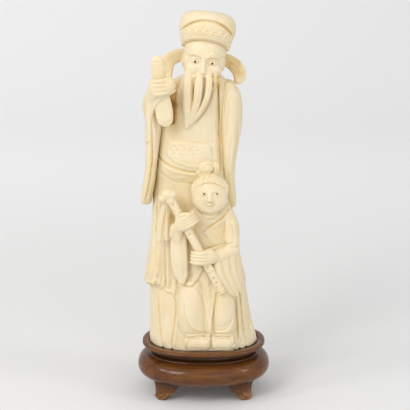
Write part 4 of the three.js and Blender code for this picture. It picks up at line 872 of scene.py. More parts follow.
childLook = {
    "step": 0.42,
    "block": ((-24, -31.5, -1.5), (31, -9, 107)),
    # height, then the reach to the left, right, front and back
    "rows": [
        (0, 14.4, 20.4, 21.4, -11), (12.5, 15.4, 20.8, 21.4, -11), (31.2, 17.0, 21.6, 21.6, -11),
        (47.8, 16.4, 22.0, 21.8, -11), (62.4, 14.6, 21.8, 21.6, -11), (79, 12.8, 21.0, 20.9, -11),
        (91.5, 10.6, 19.4, 19.6, -11), (98, 8.0, 17.6, 18.4, -11), (103, 3.1, 12.5, 16.4, -11),
    ],
    "knees": {
        "left": [(-5.5, -14.6, 55, 6.5, 6.0), (-7.6, -18.6, 42, 9.0, 7.8), (-8.0, -19.8, 30, 9.9, 8.0),
                 (-7.6, -19.6, 20, 9.9, 7.6), (-6.0, -19.0, 13.0, 9.8, 7.2)],
        "right": [(9.0, -14.6, 52, 6.3, 6.0), (12.0, -18.6, 40, 8.4, 7.6), (13.2, -19.8, 28, 9.1, 7.9),
                  (13.4, -19.6, 19, 9.0, 7.6), (13.1, -19.0, 13.0, 8.6, 7.2)],
        "between": [(1.8, -15.5, 52, 6.0, 6.9), (2.6, -17.6, 38, 5.8, 7.4), (3.8, -18.4, 24, 4.8, 7.5),
                    (4.8, -19.0, 13, 3.6, 7.0)],
    },
    "shoes": ((-3.6, 8.5), (12.9, 7.6)),  # middle and half width
    # what is joined to the coat: stations, facing, softness
    "arms": [
        ([(-5, -16.6, 97, 4.6, 4.6), (-10.6, -18.6, 92, 5.0, 4.6), (-13.6, -20.6, 85, 5.2, 4.6)],
         (0, -1, 0), 2.0),
        ([(-16.6, -21.4, 77, 5.0, 4.0), (-17.8, -23.4, 83, 4.8, 4.0), (-17.2, -25.0, 88, 4.4, 3.8)],
         (1, 0, 0), 1.2),
        ([(13.8, -15.8, 98.5, 5.4, 5), (18.2, -17.0, 89, 5.6, 5.8), (19.4, -19, 77, 5.2, 5.6)],
         (0, -1, 0), 2.4),
        ([(20.4, -19.6, 72.6, 4.8, 4.4), (14.6, -22.6, 70.2, 4.8, 4.2), (8.6, -24.8, 68.4, 4.6, 4.0)],
         (0, -1, 0.1), 0.9),
    ],
    "collar": ((5, -15.0, 94), (11.6, 6.6, 6.0)),
    # the long sleeve that hangs from the upper hand, and the drape below the lower one
    "hanging": [(-16.4, -22.4, 84, 5.0, 3.4), (-16.8, -23.4, 78, 5.6, 3.4), (-16.2, -24.0, 66, 5.8, 3.3),
                (-15.4, -24.2, 57, 4.8, 2.8), (-15.6, -24.2, 51.0, 2.0, 1.8)],
    "drape": [
        [(9.4, -24.6, 67, 3.2, 3.2), (10.2, -25.2, 59, 3.2, 3.0), (13.2, -24.8, 51, 2.9, 2.7),
         (17.6, -23.8, 44.4, 2.4, 2.2), (21.0, -22.6, 40.4, 1.1, 1.2)],
        [(14, -23.6, 69, 3.4, 3.2), (15.0, -24.0, 60, 3.2, 3.0), (17.8, -23.6, 52, 2.8, 2.6),
         (21.2, -22.6, 44.8, 2.2, 2.2), (23.4, -21.6, 40.0, 1.1, 1.2)],
        [(18.4, -21.8, 71, 3.4, 3.2), (19.4, -22.2, 61, 3.0, 2.8), (21.4, -21.8, 53, 2.7, 2.5),
         (24.0, -20.8, 45.6, 2.0, 2.0), (25.6, -19.8, 41.4, 1.0, 1.1)],
        [(21.2, -19.4, 71, 2.8, 2.8), (22.6, -19.4, 60, 2.5, 2.4), (24.2, -19.0, 50, 2.2, 2.1),
         (26.4, -18.0, 43.4, 1.3, 1.3)],
    ],
    # neckline and the pull of the tunic
    "tunic": [
        ([(17.8, 101), (12.9, 94.5), (6.4, 89.4), (-0.6, 84.2)], 1.1, 0.7, "step", 1),
        ([(15.0, 98.0), (10, 92.6), (4.2, 88.4), (-1, 85.4)], 0.45, 0.5, "groove", 1),
        ([(14.8, 94), (14.6, 87), (12.8, 78)], 1.0, 1.1, "fold"),
        ([(10.8, 88), (10.2, 82), (8.8, 76)], 0.3, 0.9),
        ([(18.6, 94), (20.6, 86), (21.0, 78)], 0.6, 1.1, "fold"),
        ([(1.6, 73.0), (6.2, 74.2), (12.4, 76.0), (20.5, 78.2)], 0.9, 0.7, "groove", 1),
        ([(6.8, 64.6), (7.8, 68.6), (7.0, 72.6)], 0.7, 0.6, "groove", 0.6),
    ],
    # the tunic's hem, the cloth between the knees, the seams
    "skirt": [
        ([(-16.8, 50.4), (-13, 48.6), (-8.6, 47.8), (-5.8, 50.4), (-4.0, 52.0), (-2.0, 55.2),
          (0.4, 60)], 1.4, 0.8, "step", 1),
        ([(-9.6, 60), (-8.6, 55.6), (-8.4, 50)], 0.5, 0.8, "groove", 1.5),
        ([(-8.8, 74), (-9.6, 64), (-10.4, 57)], 1.3, 0.9, "groove", 2),
        ([(-4.8, 49), (-1.6, 42), (0.8, 33), (2.6, 22), (3.8, 14)], 0.7, 0.8, "fold"),
        ([(8.4, 44), (6.9, 34), (5.8, 24), (5.2, 13)], -1.2, 0.9, "fold", 2),
        ([(-1.2, 50), (2.0, 45.6), (5.4, 49)], 0.4, 0.8, "groove", 1.5),
        ([(0.0, 42), (2.8, 37.4), (5.6, 41)], 0.35, 0.8, "groove", 1.5),
        ([(1.2, 56), (2.4, 40), (3.6, 26)], 0.3, 0.9, "groove", 4),
        ([(5.3, 14), (5.2, 8), (5.1, 0)], 1.6, 0.6, "cut", 1),
        ([(22.0, 38), (22.6, 26), (22.2, 12), (21.4, 3)], 1.3, 0.9, "groove", 2),
        ([(-17.8, 47), (-19.2, 34), (-18.6, 18), (-16.4, 4)], 1.3, 0.9, "groove", 2),
        ([(-13.2, 38), (-12.2, 26), (-8.6, 18.6), (-2.6, 15.4), (2.4, 15.4)], 0.7, 0.9, "fold"),
        ([(-15.0, 28), (-13.0, 20), (-9.0, 15.6), (-4.0, 14.2)], 0.45, 0.8, "groove", 2),
        ([(20.4, 24), (18.0, 18.4), (13.4, 15.8), (7.0, 15.6)], 0.6, 0.9, "step", 2),
        ([(20.6, 31), (18.6, 23), (14.4, 19.4), (8.2, 18.6)], 0.35, 0.8, "groove", 2),
        ([(-12.4, 14.0), (-8, 13.2), (-3, 13.4), (2.6, 13.2), (5.2, 12.4)], 0.9, 0.6, "groove", 0.6),
        ([(5.2, 12.4), (8, 13.2), (13, 13.6), (18, 13.4), (20.6, 14.0)], 0.9, 0.6, "groove", 0.6),
    ],
}


def shoeLines(middle, wide):
    # the outline of a shoe, a second line inside it, two rows of quilting and a strap
    reach = wide - 0.7
    arch = [(middle + reach * a, b) for a, b in
            ((-1, 1), (-0.98, 6.4), (-0.7, 10.2), (0, 11.6), (0.7, 10.2), (0.98, 6.4), (1, 1))]
    inner = [(a * 0.86 + middle * 0.14, b * 0.84) for a, b in arch]
    lines = [(arch, 0.9, 0.45, "groove", 0.5), (inner, 0.45, 0.36, "groove", 0.5)]
    for n in range(9):
        a = middle + (n - 4) * 1.25
        lines.append(([(a, 6.2), (a, 9.4)], 0.42, 0.34, "groove", 0.4))
        lines.append(([(a, 2.4), (a, 4.4)], 0.36, 0.34, "groove", 0.4))
    lines.append(([(middle - 6, 5.4), (middle, 5.2), (middle + 6, 5.4)], 0.22, 0.35, "groove", 0.5))
    return lines


def carveChild(look):
    block = makeBlock(*look["block"], look["step"])
    body = loft(block, look["rows"], 2.6, 1.8, (0, 103.4), 1.2)[0]
    for side in ("between", "left", "right"):
        body = blend(body, limb(block, look["knees"][side]), 1.4)
    for middle, wide in look["shoes"]:
        ends = [(middle - wide + 4.4, -19.6, 5.4, 7.2, 7.0), (middle + wide - 4.4, -19.6, 5.4, 7.2, 7.0)]
        body = blend(body, limb(block, ends, steps=1, power=2.3), 0.3)
    body = blend(body, egg(block, *look["collar"]), 3.0)
    for stations, facing, soft in look["arms"]:
        body = blend(body, limb(block, stations, facing=facing), soft)
    hanging = limb(block, look["hanging"], power=2.6, grooves=2, grooveDepth=0.6)
    body = blend(body, hanging, 0.6)
    for strip in look["drape"]:
        body = blend(body, limb(block, strip), 0.25)
    plan = newPlan(block)
    drawAll(plan, block, look["tunic"])
    drawAll(plan, block, look["skirt"])
    for middle, wide in look["shoes"]:
        drawAll(plan, block, shoeLines(middle, wide))
    body -= plan[:, None, :] * ramp(block.y, -14.5, -17.5)
    body = np.maximum(body, -block.z)
    keep("child_body", np.maximum(body, block.y + 10.5 + 0 * body), block)


childHeadLook = {
    "step": 0.27,
    "block": ((-12, -33, 94), (21, -6, 139)),
    "centre": (4.2, -18.4, 112.6),
    "half": (11.9, 10.4, 12.2),
    # eyelids, brow and mouth, about the middle of the head
    "lines": [
        ([(2.3, -0.2), (3.4, 0.9), (5.0, 1.3), (7.2, -0.1)], 0.45, 0.28, "groove", 0.5),
        ([(2.5, -0.4), (4.8, -1.1), (7.0, -0.3)], 0.25, 0.26, "groove", 0.5),
        ([(2.4, 2.9), (4.8, 4.0), (7.6, 3.0)], 0.24, 0.4, "groove", 0.8),
        ([(0.0, -7.2), (1.7, -7.1), (3.2, -6.3)], 0.45, 0.26, "groove", 0.4),
    ],
    # the topknot: three coils, each with its softness
    "coils": [((2.2, -18.0, 129.6), (5.8, 4.6, 4.9), 0), ((7.8, -16.6, 128.8), (3.2, 3.4, 4.6), 0.4),
              ((-2.8, -16.4, 126.0), (3.0, 3.0, 2.6), 0.8)],
    "curl": [(8.6, 132.2), (9.2, 129.4), (8.6, 126.6)],
    "tie": ((3.0, -17.8, 124.6), (5.4, 4.6, 1.3)),
}


def carveChildHead(look):
    cx, cy, cz = look["centre"]
    hx, hy, hz = look["half"]
    block = makeBlock(*look["block"], look["step"])
    shifted = SimpleNamespace(**vars(block))
    shifted.x, shifted.u = block.x - cx, block.u - cx
    shifted.y, shifted.z, shifted.v = block.y - cy, block.z - cz, block.v - cz
    both = mirrored(shifted)
    head = egg(shifted, (0, 0, 0.8), (hx, hy, hz - 1))
    head = blend(head, egg(both, (5.6, -3.0, -5.2), (6.0, 6.2, 6.4)), 3.5)
    head = blend(head, egg(shifted, (0, -4.6, -10.0), (6.6, 4.6, 4.0)), 3.2)
    head = carve(head, egg(both, (4.7, -11.2, 0.7), (2.6, 1.6, 1.4)), 1.6)
    head = blend(head, egg(both, (4.6, -8.2, 0.2), (2.6, 2.2, 1.6)), 0.5)
    nose = limb(block, [(cx, cy - 9.8, cz + 1.6, 0.9, 0.9), (cx, cy - 11.2, cz - 3.0, 1.4, 1.3)])
    head = blend(blend(head, nose, 1.4), egg(both, (1.25, -10.2, -3.4), (0.95, 0.9, 0.7)), 0.5)
    head = blend(head, egg(shifted, (0, -9.9, -6.5), (2.3, 1.1, 0.6)), 0.5)
    head = blend(head, egg(shifted, (0, -9.6, -7.9), (1.9, 1.1, 0.6)), 0.5)
    ear = egg(both, (hx - 0.9, 1.6, -1.4), (1.4, 2.0, 3.2))
    head = blend(head, ear, 0.6)
    # hair: a short fringe in scallops, combed up to the topknot
    x = shifted.x
    hairline = 8.2 - 0.045 * x * x + 0.5 * np.abs(np.cos(x * 0.8 + 0.3)) + 0.3 * np.cos(x * 3.7)
    comb = np.arctan2(x, 15.5 - shifted.z + 0 * x)
    strands = 0.24 * np.cos(comb * 34 + 1.2 * np.sin(comb * 7)) + 0.16 * np.cos(comb * 15 + 0.6)
    cap = egg(shifted, (0, 0.3, 1.3), (hx + 0.5, hy + 0.95, hz + 0.2)) - strands * ramp(shifted.y, 4, 0)
    head = blend(head, np.maximum(cap, (hairline - shifted.z) * 0.45), 0.5)
    for side in (-1, 1):
        x = cx + side * 10.4
        lock = [(x, cy - 3.4, cz + 5.0, 2.0, 1.6), (x + side * 0.6, cy - 3.4, cz + 1.0, 1.6, 1.3),
                (x + side * 0.4, cy - 3.2, cz - 3.6, 0.8, 0.8)]
        lock = limb(block, lock, grooves=2, grooveDepth=0.25)
        head = blend(head, lock, 0.8)
    bun = None
    for spot, radii, soft in look["coils"]:
        coil = egg(block, spot, radii)
        bun = coil if bun is None else blend(bun, coil, soft)
    plan = newPlan(block)
    turns = [-1.2 + t * 0.62 for t in range(9)]
    coil = [(2.6 + (5.0 - t * 0.42) * math.cos(a), 129.5 + (4.0 - t * 0.36) * math.sin(a))
            for t, a in enumerate(turns)]
    draw(plan, block, coil, 0.8, 0.55, fade=0.5)
    draw(plan, block, look["curl"], 0.5, 0.5, fade=0.5)
    bun = bun - plan[:, None, :] * ramp(block.y, cy + 1, cy - 1)
    head = blend(blend(head, bun, 0.9), egg(block, *look["tie"]), 0.4)
    neck = np.maximum(np.hypot(block.x - cx, block.y - cy - 1.6) - 6.2, np.abs(block.z - 101) - 6)
    head = blend(head, neck, 1.6)
    plan = newPlan(block)
    drawAll(plan, block, look["lines"], (-1, 1), cx, cz)
    head -= plan[:, None, :] * ramp(block.y, cy - 4, cy - 7)
    keep("child_head", head, block)


# flute, its tassel and the child's hands

fluteLook = {
    "step": 0.32,
    "block": ((-32, -33, 38), (18, -22, 121)),
    "top": (-23.2, -27.2, 111.9),
    "slant": 62,
    "length": 77,
    # distance from the top and radius
    "shaft": ((0, 2.9), (38, 2.9), (77.2, 3.0)),
    # thin grooves: distance, depth, width; raised rings: distance, height; finger holes: distance
    "grooves": ((8.5, 0.3, 0.4), (10.2, 0.3, 0.4), (30.6, 0.3, 0.35), (60, 0.35, 0.4), (71.6, 0.35, 0.4),
                (73.4, 0.35, 0.4), (75.4, 0.35, 0.4)),
    "rings": ((9.4, 0.2), (31.4, 0.25), (59, 0.25), (74.4, 0.25)),
    "holes": (6.1, 29.6, 55.8, 64.4, 68.2),
    "holeRadius": 0.8,
    "knob": ((-0.9, 0, 0.9), (4.5, 3.7, 4.0)),
    # lumps of the knob: across, up, radius
    "lumps": ((-4.4, -1.5, 2.8), (0.8, -2.8, 3.1), (2.4, 1.0, 2.8)),
}
fluteTop = np.array(fluteLook["top"])
slant = math.radians(fluteLook["slant"])
fluteWay = np.array([math.cos(slant), 0, -math.sin(slant)])


def flutePoint(distance):
    return fluteTop + fluteWay * distance


def carveFlute(look):
    block = makeBlock(*look["block"], look["step"])
    shaft = limb(block, [(*flutePoint(at), radius, radius) for at, radius in look["shaft"]], steps=1)
    dx, dz = block.x - fluteTop[0], block.z - fluteTop[2]
    way = dx * fluteWay[0] + dz * fluteWay[2]
    side = dx * -fluteWay[2] + dz * fluteWay[0]
    shaft = -blend(-shaft, -(way - look["length"] + 0 * shaft), 0.5)
    for at, depth, width in look["grooves"]:
        shaft = shaft + depth * hump(way, at, width)
    for at, lift in look["rings"]:
        shaft = shaft - lift * hump(way, at, 0.7)
    for at in look["holes"]:
        hole = np.maximum(np.hypot(way - at, side) - look["holeRadius"], block.y - (fluteTop[1] - 1.9))
        shaft = carve(shaft, hole, 0.2)
    spot, radii = look["knob"]
    knob = egg(block, fluteTop + spot, radii)
    for across, up, radius in look["lumps"]:
        knob = blend(knob, egg(block, fluteTop + (across, -0.5, up), (radius, radius, radius)), 0.4)
    keep("flute", blend(shaft, knob, 0.8), block)


tasselLook = {
    "step": 0.33,
    "block": ((-35, -31, 74), (-19, -16, 111)),
    "front": [(-25.4, -25.8, 107.4, 1.8, 1.6), (-27.0, -23.4, 99, 2.6, 1.8), (-28.6, -21.8, 89, 2.9, 1.8),
              (-29.8, -21.4, 79, 2.5, 1.6)],
    "frontGrooves": 0.7,
    "behind": [(-25, -25, 105.4, 1.4, 1.4), (-24.4, -22.6, 95, 1.9, 1.5), (-24.8, -21.2, 80, 2.0, 1.4)],
    "behindGrooves": 0.5,
}


def carveTassel(look):
    block = makeBlock(*look["block"], look["step"])
    front = limb(block, look["front"], grooves=2, grooveDepth=look["frontGrooves"])
    behind = limb(block, look["behind"], grooves=2, grooveDepth=look["behindGrooves"])
    keep("flute_tassel", blend(front, behind, 0.2), block)


# each hand lies over the flute: where along it, the way from finger to finger, the way across the
# fingers, the back of the hand, and the wrist
childHandLook = {
    "child_hand_upper": {
        "step": 0.25,
        "block": ((-29, -34.5, 79), (5, -18, 108)),
        "at": 20.4,
        "offset": (1.6, 0, 0.5),
        "way": fluteWay,
        "across": (-fluteWay[2], 0, fluteWay[0]),
        "spacing": 2.05,
        "parting": 0.3,
        "path": ((-4, -1.6, 1.4), (-0.6, -3.9, 1.45), (3.0, -4.0, 1.35), (5.8, -2.2, 1.2), (7.4, 0.2, 1.0)),
        "back": (-3.2, (0, -1.0, -0.4), (4.9, 3.6, 5.2)),
        "wrist": [(-19.4, -24.0, 84, 3.8, 3.4), (-18.4, -26.2, 89.6, 4.1, 3.4)],
        "thumb": [(-17.6, -28.4, 97.2, 1.5, 1.5), (-13.8, -30.8, 100.0, 1.4, 1.4),
                  (-9.6, -30.4, 100.4, 1.1, 1.1)],
    },
    "child_hand_lower": {
        "step": 0.25,
        "block": ((-14, -34.5, 58), (15, -18, 78)),
        "at": 48,
        "offset": (0, 0, 0),
        "way": (-0.1, 0, -0.995),
        "across": (-1.0, 0, -0.06),
        "spacing": 2.3,
        "parting": 0.3,
        "path": ((-5, -1.2, 1.5), (-1, -3.8, 1.5), (3.4, -3.6, 1.4), (6.0, -1.6, 1.25), (7.6, 0.6, 1.0)),
        "back": (0, (4.4, -0.8, 0.2), (5.4, 3.6, 5.2)),
        "wrist": [(13, -23.4, 70.0, 3.6, 3.4), (6, -26.4, 68.6, 4.2, 3.6)],
        "thumb": None,
    },
}


def carveChildHands(looks):
    for name, look in looks.items():
        block = makeBlock(*look["block"], look["step"])
        centre = flutePoint(look["at"]) + look["offset"]
        across = np.array(look["across"])
        along, offset, radii = look["back"]
        back = egg(block, centre + across * along + offset, radii)
        hand = blend(fingers(block, centre, np.array(look["way"]), across, look), back, 1.8)
        hand = blend(hand, limb(block, look["wrist"], facing=(0, -1, 0.01)), 1.6)
        if look["thumb"]:
            hand = blend(hand, limb(block, look["thumb"]), 0.7)
        keep(name, hand, block)


carveRobe(robeLook)
carveLoweredSleeve(sleeveLook["lowered"], sleeveLook["step"])
carveRaisedSleeve(sleeveLook["raised"], sleeveLook["step"])
carveTablet(tabletLook)
carveRaisedHand(raisedHandLook)
carveHead(headLook)
carveHat(hatLook)
carveWings(wingLook)
carveChild(childLook)
carveChildHead(childHeadLook)
carveFlute(fluteLook)
carveTassel(tasselLook)
carveChildHands(childHandLook)


# how enclosed each spot of the carving is, which is where the amber patina gathers and where shade is
# painted into the colour

crowdLow, crowdHigh, crowdStep = np.array([-50.0, -38, -6]), (50, 36, 242), 1.0


def crowding():
    axes = [np.arange(a, b, crowdStep) for a, b in zip(crowdLow, crowdHigh)]
    spots = np.stack(np.meshgrid(*axes, indexing="ij"), axis=-1).reshape(-1, 3)
    shape = [len(a) for a in axes]
    filled = np.zeros(len(spots), np.float32)
    for piece in carvings.values():
        block = piece.block
        at = np.rint((fromPose(spots, piece.pose) - block.low) / block.step).astype(int)
        inside = np.all((at >= 0) & (at < block.shape), axis=1)
        i, j, k = at[inside].T
        filled[inside] = np.maximum(filled[inside], np.clip(0.5 - piece.field[i, j, k], 0, 1))
    filled = filled.reshape(shape)
    near = boxBlur(boxBlur(filled, 1), 1)
    wide = boxBlur(boxBlur(boxBlur(filled, 2), 2), 2)
    return near, wide


def sampleAt(values, spots, low, step):
    at = np.clip((spots - low) / step, 0, np.array(values.shape) - 1.001)
    base = at.astype(int)
    t = (at - base).astype(np.float32)
    total = np.zeros(len(spots), np.float32)
    for corner in range(8):
        c = np.array([corner >> 2 & 1, corner >> 1 & 1, corner & 1])
        weight = np.prod(np.where(c, t, 1 - t), axis=1)
        i, j, k = (base + c).T
        total += weight * values[i, j, k]
    return total


agedAndShadedLook = {
    # stained spots of the carving, and spots of painted shade where it lies in shadow: x, y, z, reach
    # across and up, strength
    "stainsAndShade": [
        (-21.0, -13, 174, 4.0, 20, 1.9), (-21.4, -14, 187, 4.4, 8, 1.7), (10.2, -16, 186, 2.6, 6, 1.8),
        (-34.8, -12, 136, 1.8, 30, 0.5), (-14, -17, 104, 8, 7, 0.55), (-22.5, -20, 95, 2.2, 3.4, 1.5),
        (11.4, -14, 138, 2.4, 26, 0.4), (-17, 8, 200, 16, 12, 0.30), (20, 8, 192, 12, 14, 0.95),
        (14, -12, 222, 8, 6, 0.40), (-2, -14, 224, 12, 4, 0.25), (-11, -20, 80, 3.0, 16, 0.35),
        (21, -12, 112, 6, 12, 0.45), (-8, -16, 118, 10, 10, 0.30),
    ],
    "spotDepth": 9,
    # how far off the surface the crowding is read, near and wide
    "reach": (1.2, 2.2),
}


def stainAndShadeAt(points, look):
    # stains and painted shadow spots; the strongest one counts at each point
    total = np.zeros(len(points), np.float32)
    for x, y, z, across, up, strength in look["stainsAndShade"]:
        off = ((points - (x, y, z)) / (across, look["spotDepth"], up)) ** 2
        total = np.maximum(total, strength * np.exp(-off.sum(axis=1)))
    return total


def edgeAt(mesh):
    # how sharply a mesh bends at each point, in 1/mm, above zero where it stands out
    count = len(mesh.vertices)
    spots, normals = np.empty(count * 3, np.float32), np.empty(count * 3, np.float32)
    mesh.vertices.foreach_get("co", spots)
    mesh.vertex_normals.foreach_get("vector", normals)
    spots, normals = spots.reshape(-1, 3) * 1000, normals.reshape(-1, 3)
    ends = np.empty(len(mesh.edges) * 2, np.int32)
    mesh.edges.foreach_get("vertices", ends)
    a, b = ends.reshape(-1, 2).T
    along = spots[b] - spots[a]
    bend = (along * (normals[b] - normals[a])).sum(1) / np.maximum((along ** 2).sum(1), 1e-4)
    both = np.concatenate([a, b])
    share = np.maximum(np.bincount(both, minlength=count), 1)
    return (np.bincount(both, np.tile(bend, 2), count) / share).astype(np.float32)


def paint(piece, label, values):
    layer = piece.data.attributes.new(label, "FLOAT", "POINT")
    layer.data.foreach_set("value", np.asarray(values, np.float32))


def meshBones(look):
    near, wide = crowding()
    made = {}
    for name, piece in carvings.items():
        points, faces = largestShell(*skinOf(piece.field, piece.block))
        soft = np.clip(piece.field, -3, 3)
        hollowed = sampleAt(soft - boxBlur(boxBlur(soft, 2), 2), points, piece.block.low, piece.block.step)
        placed = toPose(points, piece.pose)
        bone = meshFrom(name + ".carved", (placed + (0, 0, seat)) / 1000, faces)
        normals = np.empty(len(points) * 3, np.float32)
        bone.data.vertex_normals.foreach_get("vector", normals)
        normals = normals.reshape(-1, 3)
        # tucked and enclosed carry the amber patina and the painted shade of recesses
        paint(bone, "tucked", sampleAt(near, placed + normals * look["reach"][0], crowdLow, crowdStep))
        paint(bone, "enclosed", sampleAt(wide, placed + normals * look["reach"][1], crowdLow, crowdStep))
        paint(bone, "hollowed", hollowed)
        # stains and spots of painted shade
        paint(bone, "stainAndShade", stainAndShadeAt(placed, look))
        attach(bone, "figure")
        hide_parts(name)
        made[name] = bone
        print("meshed", name, len(faces), "faces")
    return made


bones = meshBones(agedAndShadedLook)


standLook = {
    "halfWidth": 43.2,
    "halfDepth": 33.2,
    "power": 2.35,
    "around": 192,
    # height and inset of each ring
    "plateRings": [(34.7, 6.4), (34.7, 2.4), (34.9, 1.5), (35.3, 0.9), (35.7, 1.0), (35.9, 0.5),
                   (36.4, 0.05), (37.0, 0.1), (37.4, 0.5), (37.7, 1.1), (37.8, 2.0)],
    "waistRings": [(27.6, 6.0), (28.8, 4.9), (29.4, 4.9), (29.8, 5.6), (30.0, 7.4), (30.8, 8.2),
                   (32.0, 8.4), (33.6, 7.8), (34.7, 6.4)],
    # the recess: half width, reach to the front and back of the figure, play round it, power
    "recess": (37.2, 25.6, 24.0),
    "play": 1.9,
    "recessPower": 2.25,
    "lip": 37.8,
    # width and depth of the recess as shares of its lip, and the drop
    "recessRings": [(1, 1, 0), (0.996, 0.994, 0.12), (0.994, 0.991, 0.9), (0.985, 0.98, 1.05)],
    # the drum is fullest at its middle: height, half height, inset of its foot and head, bulge
    "drum": (20.6, 8.0, (9.4, 9.0), 3.2),
    # painted highlight on the toes of the feet
    "toeSheen": 0.9,
    # painted shade on the tops of the feet, under the drum
    "footShade": 0.8,
}


def ovalRing(z, wide, front, back, power, around):
    angle = np.linspace(0, 2 * np.pi, around, endpoint=False)
    c, s = np.cos(angle), np.sin(angle)
    x = np.sign(c) * np.abs(c) ** (2 / power) * wide
    y = np.sign(s) * np.abs(s) ** (2 / power) * np.where(s < 0, front, back)
    return np.stack([x, y, np.full_like(x, z)], axis=1)


def lathe(name, rings):
    count = len(rings[0])
    points = np.concatenate(rings + [rings[0].mean(0)[None], rings[-1].mean(0)[None]])
    ids = np.arange(count)
    after = (ids + 1) % count
    faces = []
    for r in range(len(rings) - 1):
        a, b = r * count, (r + 1) * count
        faces += [(a + i, a + j, b + j, b + i) for i, j in zip(ids, after)]
    last = (len(rings) - 1) * count
    foot, head = len(points) - 2, len(points) - 1
    mesh = bpy.data.meshes.new(name)
    faces += [(foot, int(j), int(i)) for i, j in zip(ids, after)]
    faces += [(head, last + int(i), last + int(j)) for i, j in zip(ids, after)]
    mesh.from_pydata((points / 1000).tolist(), [], faces)
    mesh.shade_smooth()
    piece = bpy.data.objects.new(name, mesh)
    bpy.context.collection.objects.link(piece)
    return piece


def buildStand(look):
    def board(z, inset):
        deep = look["halfDepth"] - inset
        return ovalRing(z, look["halfWidth"] - inset, deep, deep, look["power"], look["around"])

    # plate: a beaded board with the recess that the figure stands in
    rings = [board(z, inset) for z, inset in look["plateRings"]]
    wide, front, back = (size + look["play"] for size in look["recess"])
    lip = ovalRing(look["lip"], wide, front, back, look["recessPower"], look["around"])
    rings += [lip * (across, deep, 1) - (0, 0, drop) for across, deep, drop in look["recessRings"]]
    made = {
        "stand_plate": lathe("stand_plate.turned", rings),
        "stand_waist": lathe("stand_waist.turned", [board(z, inset) for z, inset in look["waistRings"]]),
    }
    middle, reach, insets, bulge = look["drum"]
    rings = []
    for t in np.linspace(-math.pi / 2, math.pi / 2, 41):
        inset = insets[0 if t < 0 else 1] * (1 - math.cos(t)) - bulge
        rings.append(board(middle + reach * math.sin(t), inset))
    made["stand_drum"] = lathe("stand_drum.turned", rings)
    for name, sideX, sideY in (("foot_front_left", -1, -1), ("foot_front_right", 1, -1),
                               ("foot_back_left", -1, 1), ("foot_back_right", 1, 1)):
        made[name] = buildFoot(name, sideX, sideY, footLook)
    for name, piece in made.items():
        heights = np.array([v.co.z * 1000 for v in piece.data.vertices])
        onFoot = float(name.startswith("foot"))
        # the toes get a painted highlight through the edge layer
        toes = look["toeSheen"] * onFoot * hump(heights, 4.0, 2.8)
        # painted shade in the waist under the plate, and on the tops of the feet
        waistShade = ramp(heights, 27.5, 29.6) * ramp(heights, 35.0, 34.5)
        paint(piece, "edge", edgeAt(piece.data) + toes)
        paint(piece, "paintedShade", waistShade + look["footShade"] * onFoot * ramp(heights, 7.5, 12.5))
        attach(piece, "stand")
        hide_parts(name)
    return made


footLook = {
    "step": 0.35,
    "block": ((-14, -12, -1.5), (14, 12, 16)),
    "height": 12.6,
    "outer": (5.4, 5.6),  # half width at the foot, and how much wider at the head
    "inner": (6.0, 5.8),
    "thick": (8.2, 2.6),
    "toe": ((0, 0, 5.0), (6.4, 5.4, 5.4)),
    "leaf": [
        ([(-6.0, 12.4), (-4.4, 7.6), (-2.6, 3.4), (0.6, 1.6)], 0.7, 0.8, "groove", 1),
        ([(5.2, 12.4), (3.8, 8.0), (3.4, 4.0)], 0.5, 0.7, "groove", 1),
    ],
    "place": (25.5, -17.8),
    "turn": 30,
    "splay": 4.0,
}


def buildFoot(name, sideX, sideY, look):
    # carved in the place of the right front foot, then mirrored
    block = makeBlock(*look["block"], look["step"])
    share = np.clip(block.z / look["height"], 0, 1)
    outer = look["outer"][0] + look["outer"][1] * share ** 3.0
    inner = look["inner"][0] + look["inner"][1] * share ** 1.3
    wide = np.where(block.x > 0, outer, inner)
    thick = (look["thick"][0] + look["thick"][1] * share ** 2) / 2
    reach = (np.abs(block.x / wide) ** 2.4 + np.abs(block.y / thick) ** 2.4) ** (1 / 2.4)
    foot = np.hypot(block.x, block.y) * (1 - 1 / np.maximum(reach, 0.05))
    toe = egg(block, *look["toe"])
    foot = np.where(block.z < 5.0, -blend(-foot, -toe, 0.6), foot)
    foot = np.maximum(foot, np.maximum(-block.z, block.z - look["height"] - 2))
    leaf = newPlan(block)
    drawAll(leaf, block, look["leaf"])
    foot = foot - leaf[:, None, :] * ramp(block.y, -1.0, -3)
    points, faces = largestShell(*skinOf(foot.astype(np.float32), block))
    out = look["splay"] * (1 - np.clip(points[:, 2] / look["height"], 0, 1)) ** 0.9
    turn = math.radians(look["turn"])
    c, s = math.cos(turn), math.sin(turn)
    x = points[:, 0] * c - points[:, 1] * s + look["place"][0] + out
    y = points[:, 0] * s + points[:, 1] * c + look["place"][1] - out * 0.6
    if sideX * sideY > 0:
        faces = faces[:, ::-1]
    return meshFrom(name + ".carved", np.stack([x * sideX, y * -sideY, points[:, 2]], axis=1) / 1000, faces)


stand = buildStand(standLook)
print("stand built")


# eyes of black horn

eyeLook = {
    "radius": 0.78,
    "dome": 0.55,
    "around": 28,
    "length": 1.5,
    # how far in from the front of its solid each eye's middle lies, in metres
    "proud": {"scholar": 0.00078, "child": 0.0009},
}


def buildEye(name, look):
    angle = np.linspace(0, 2 * np.pi, look["around"], endpoint=False)
    rings = []
    for t in np.linspace(0.06, 1, 9) * math.pi / 2:
        reach, y = look["radius"] * math.sin(t), -look["radius"] * look["dome"] * math.cos(t)
        ring = [reach * np.cos(angle), np.full_like(angle, y), reach * np.sin(angle)]
        rings.append(np.stack(ring, axis=1))
    rings.append(rings[-1] + (0, look["length"], 0))
    return lathe(name + ".polished", rings)


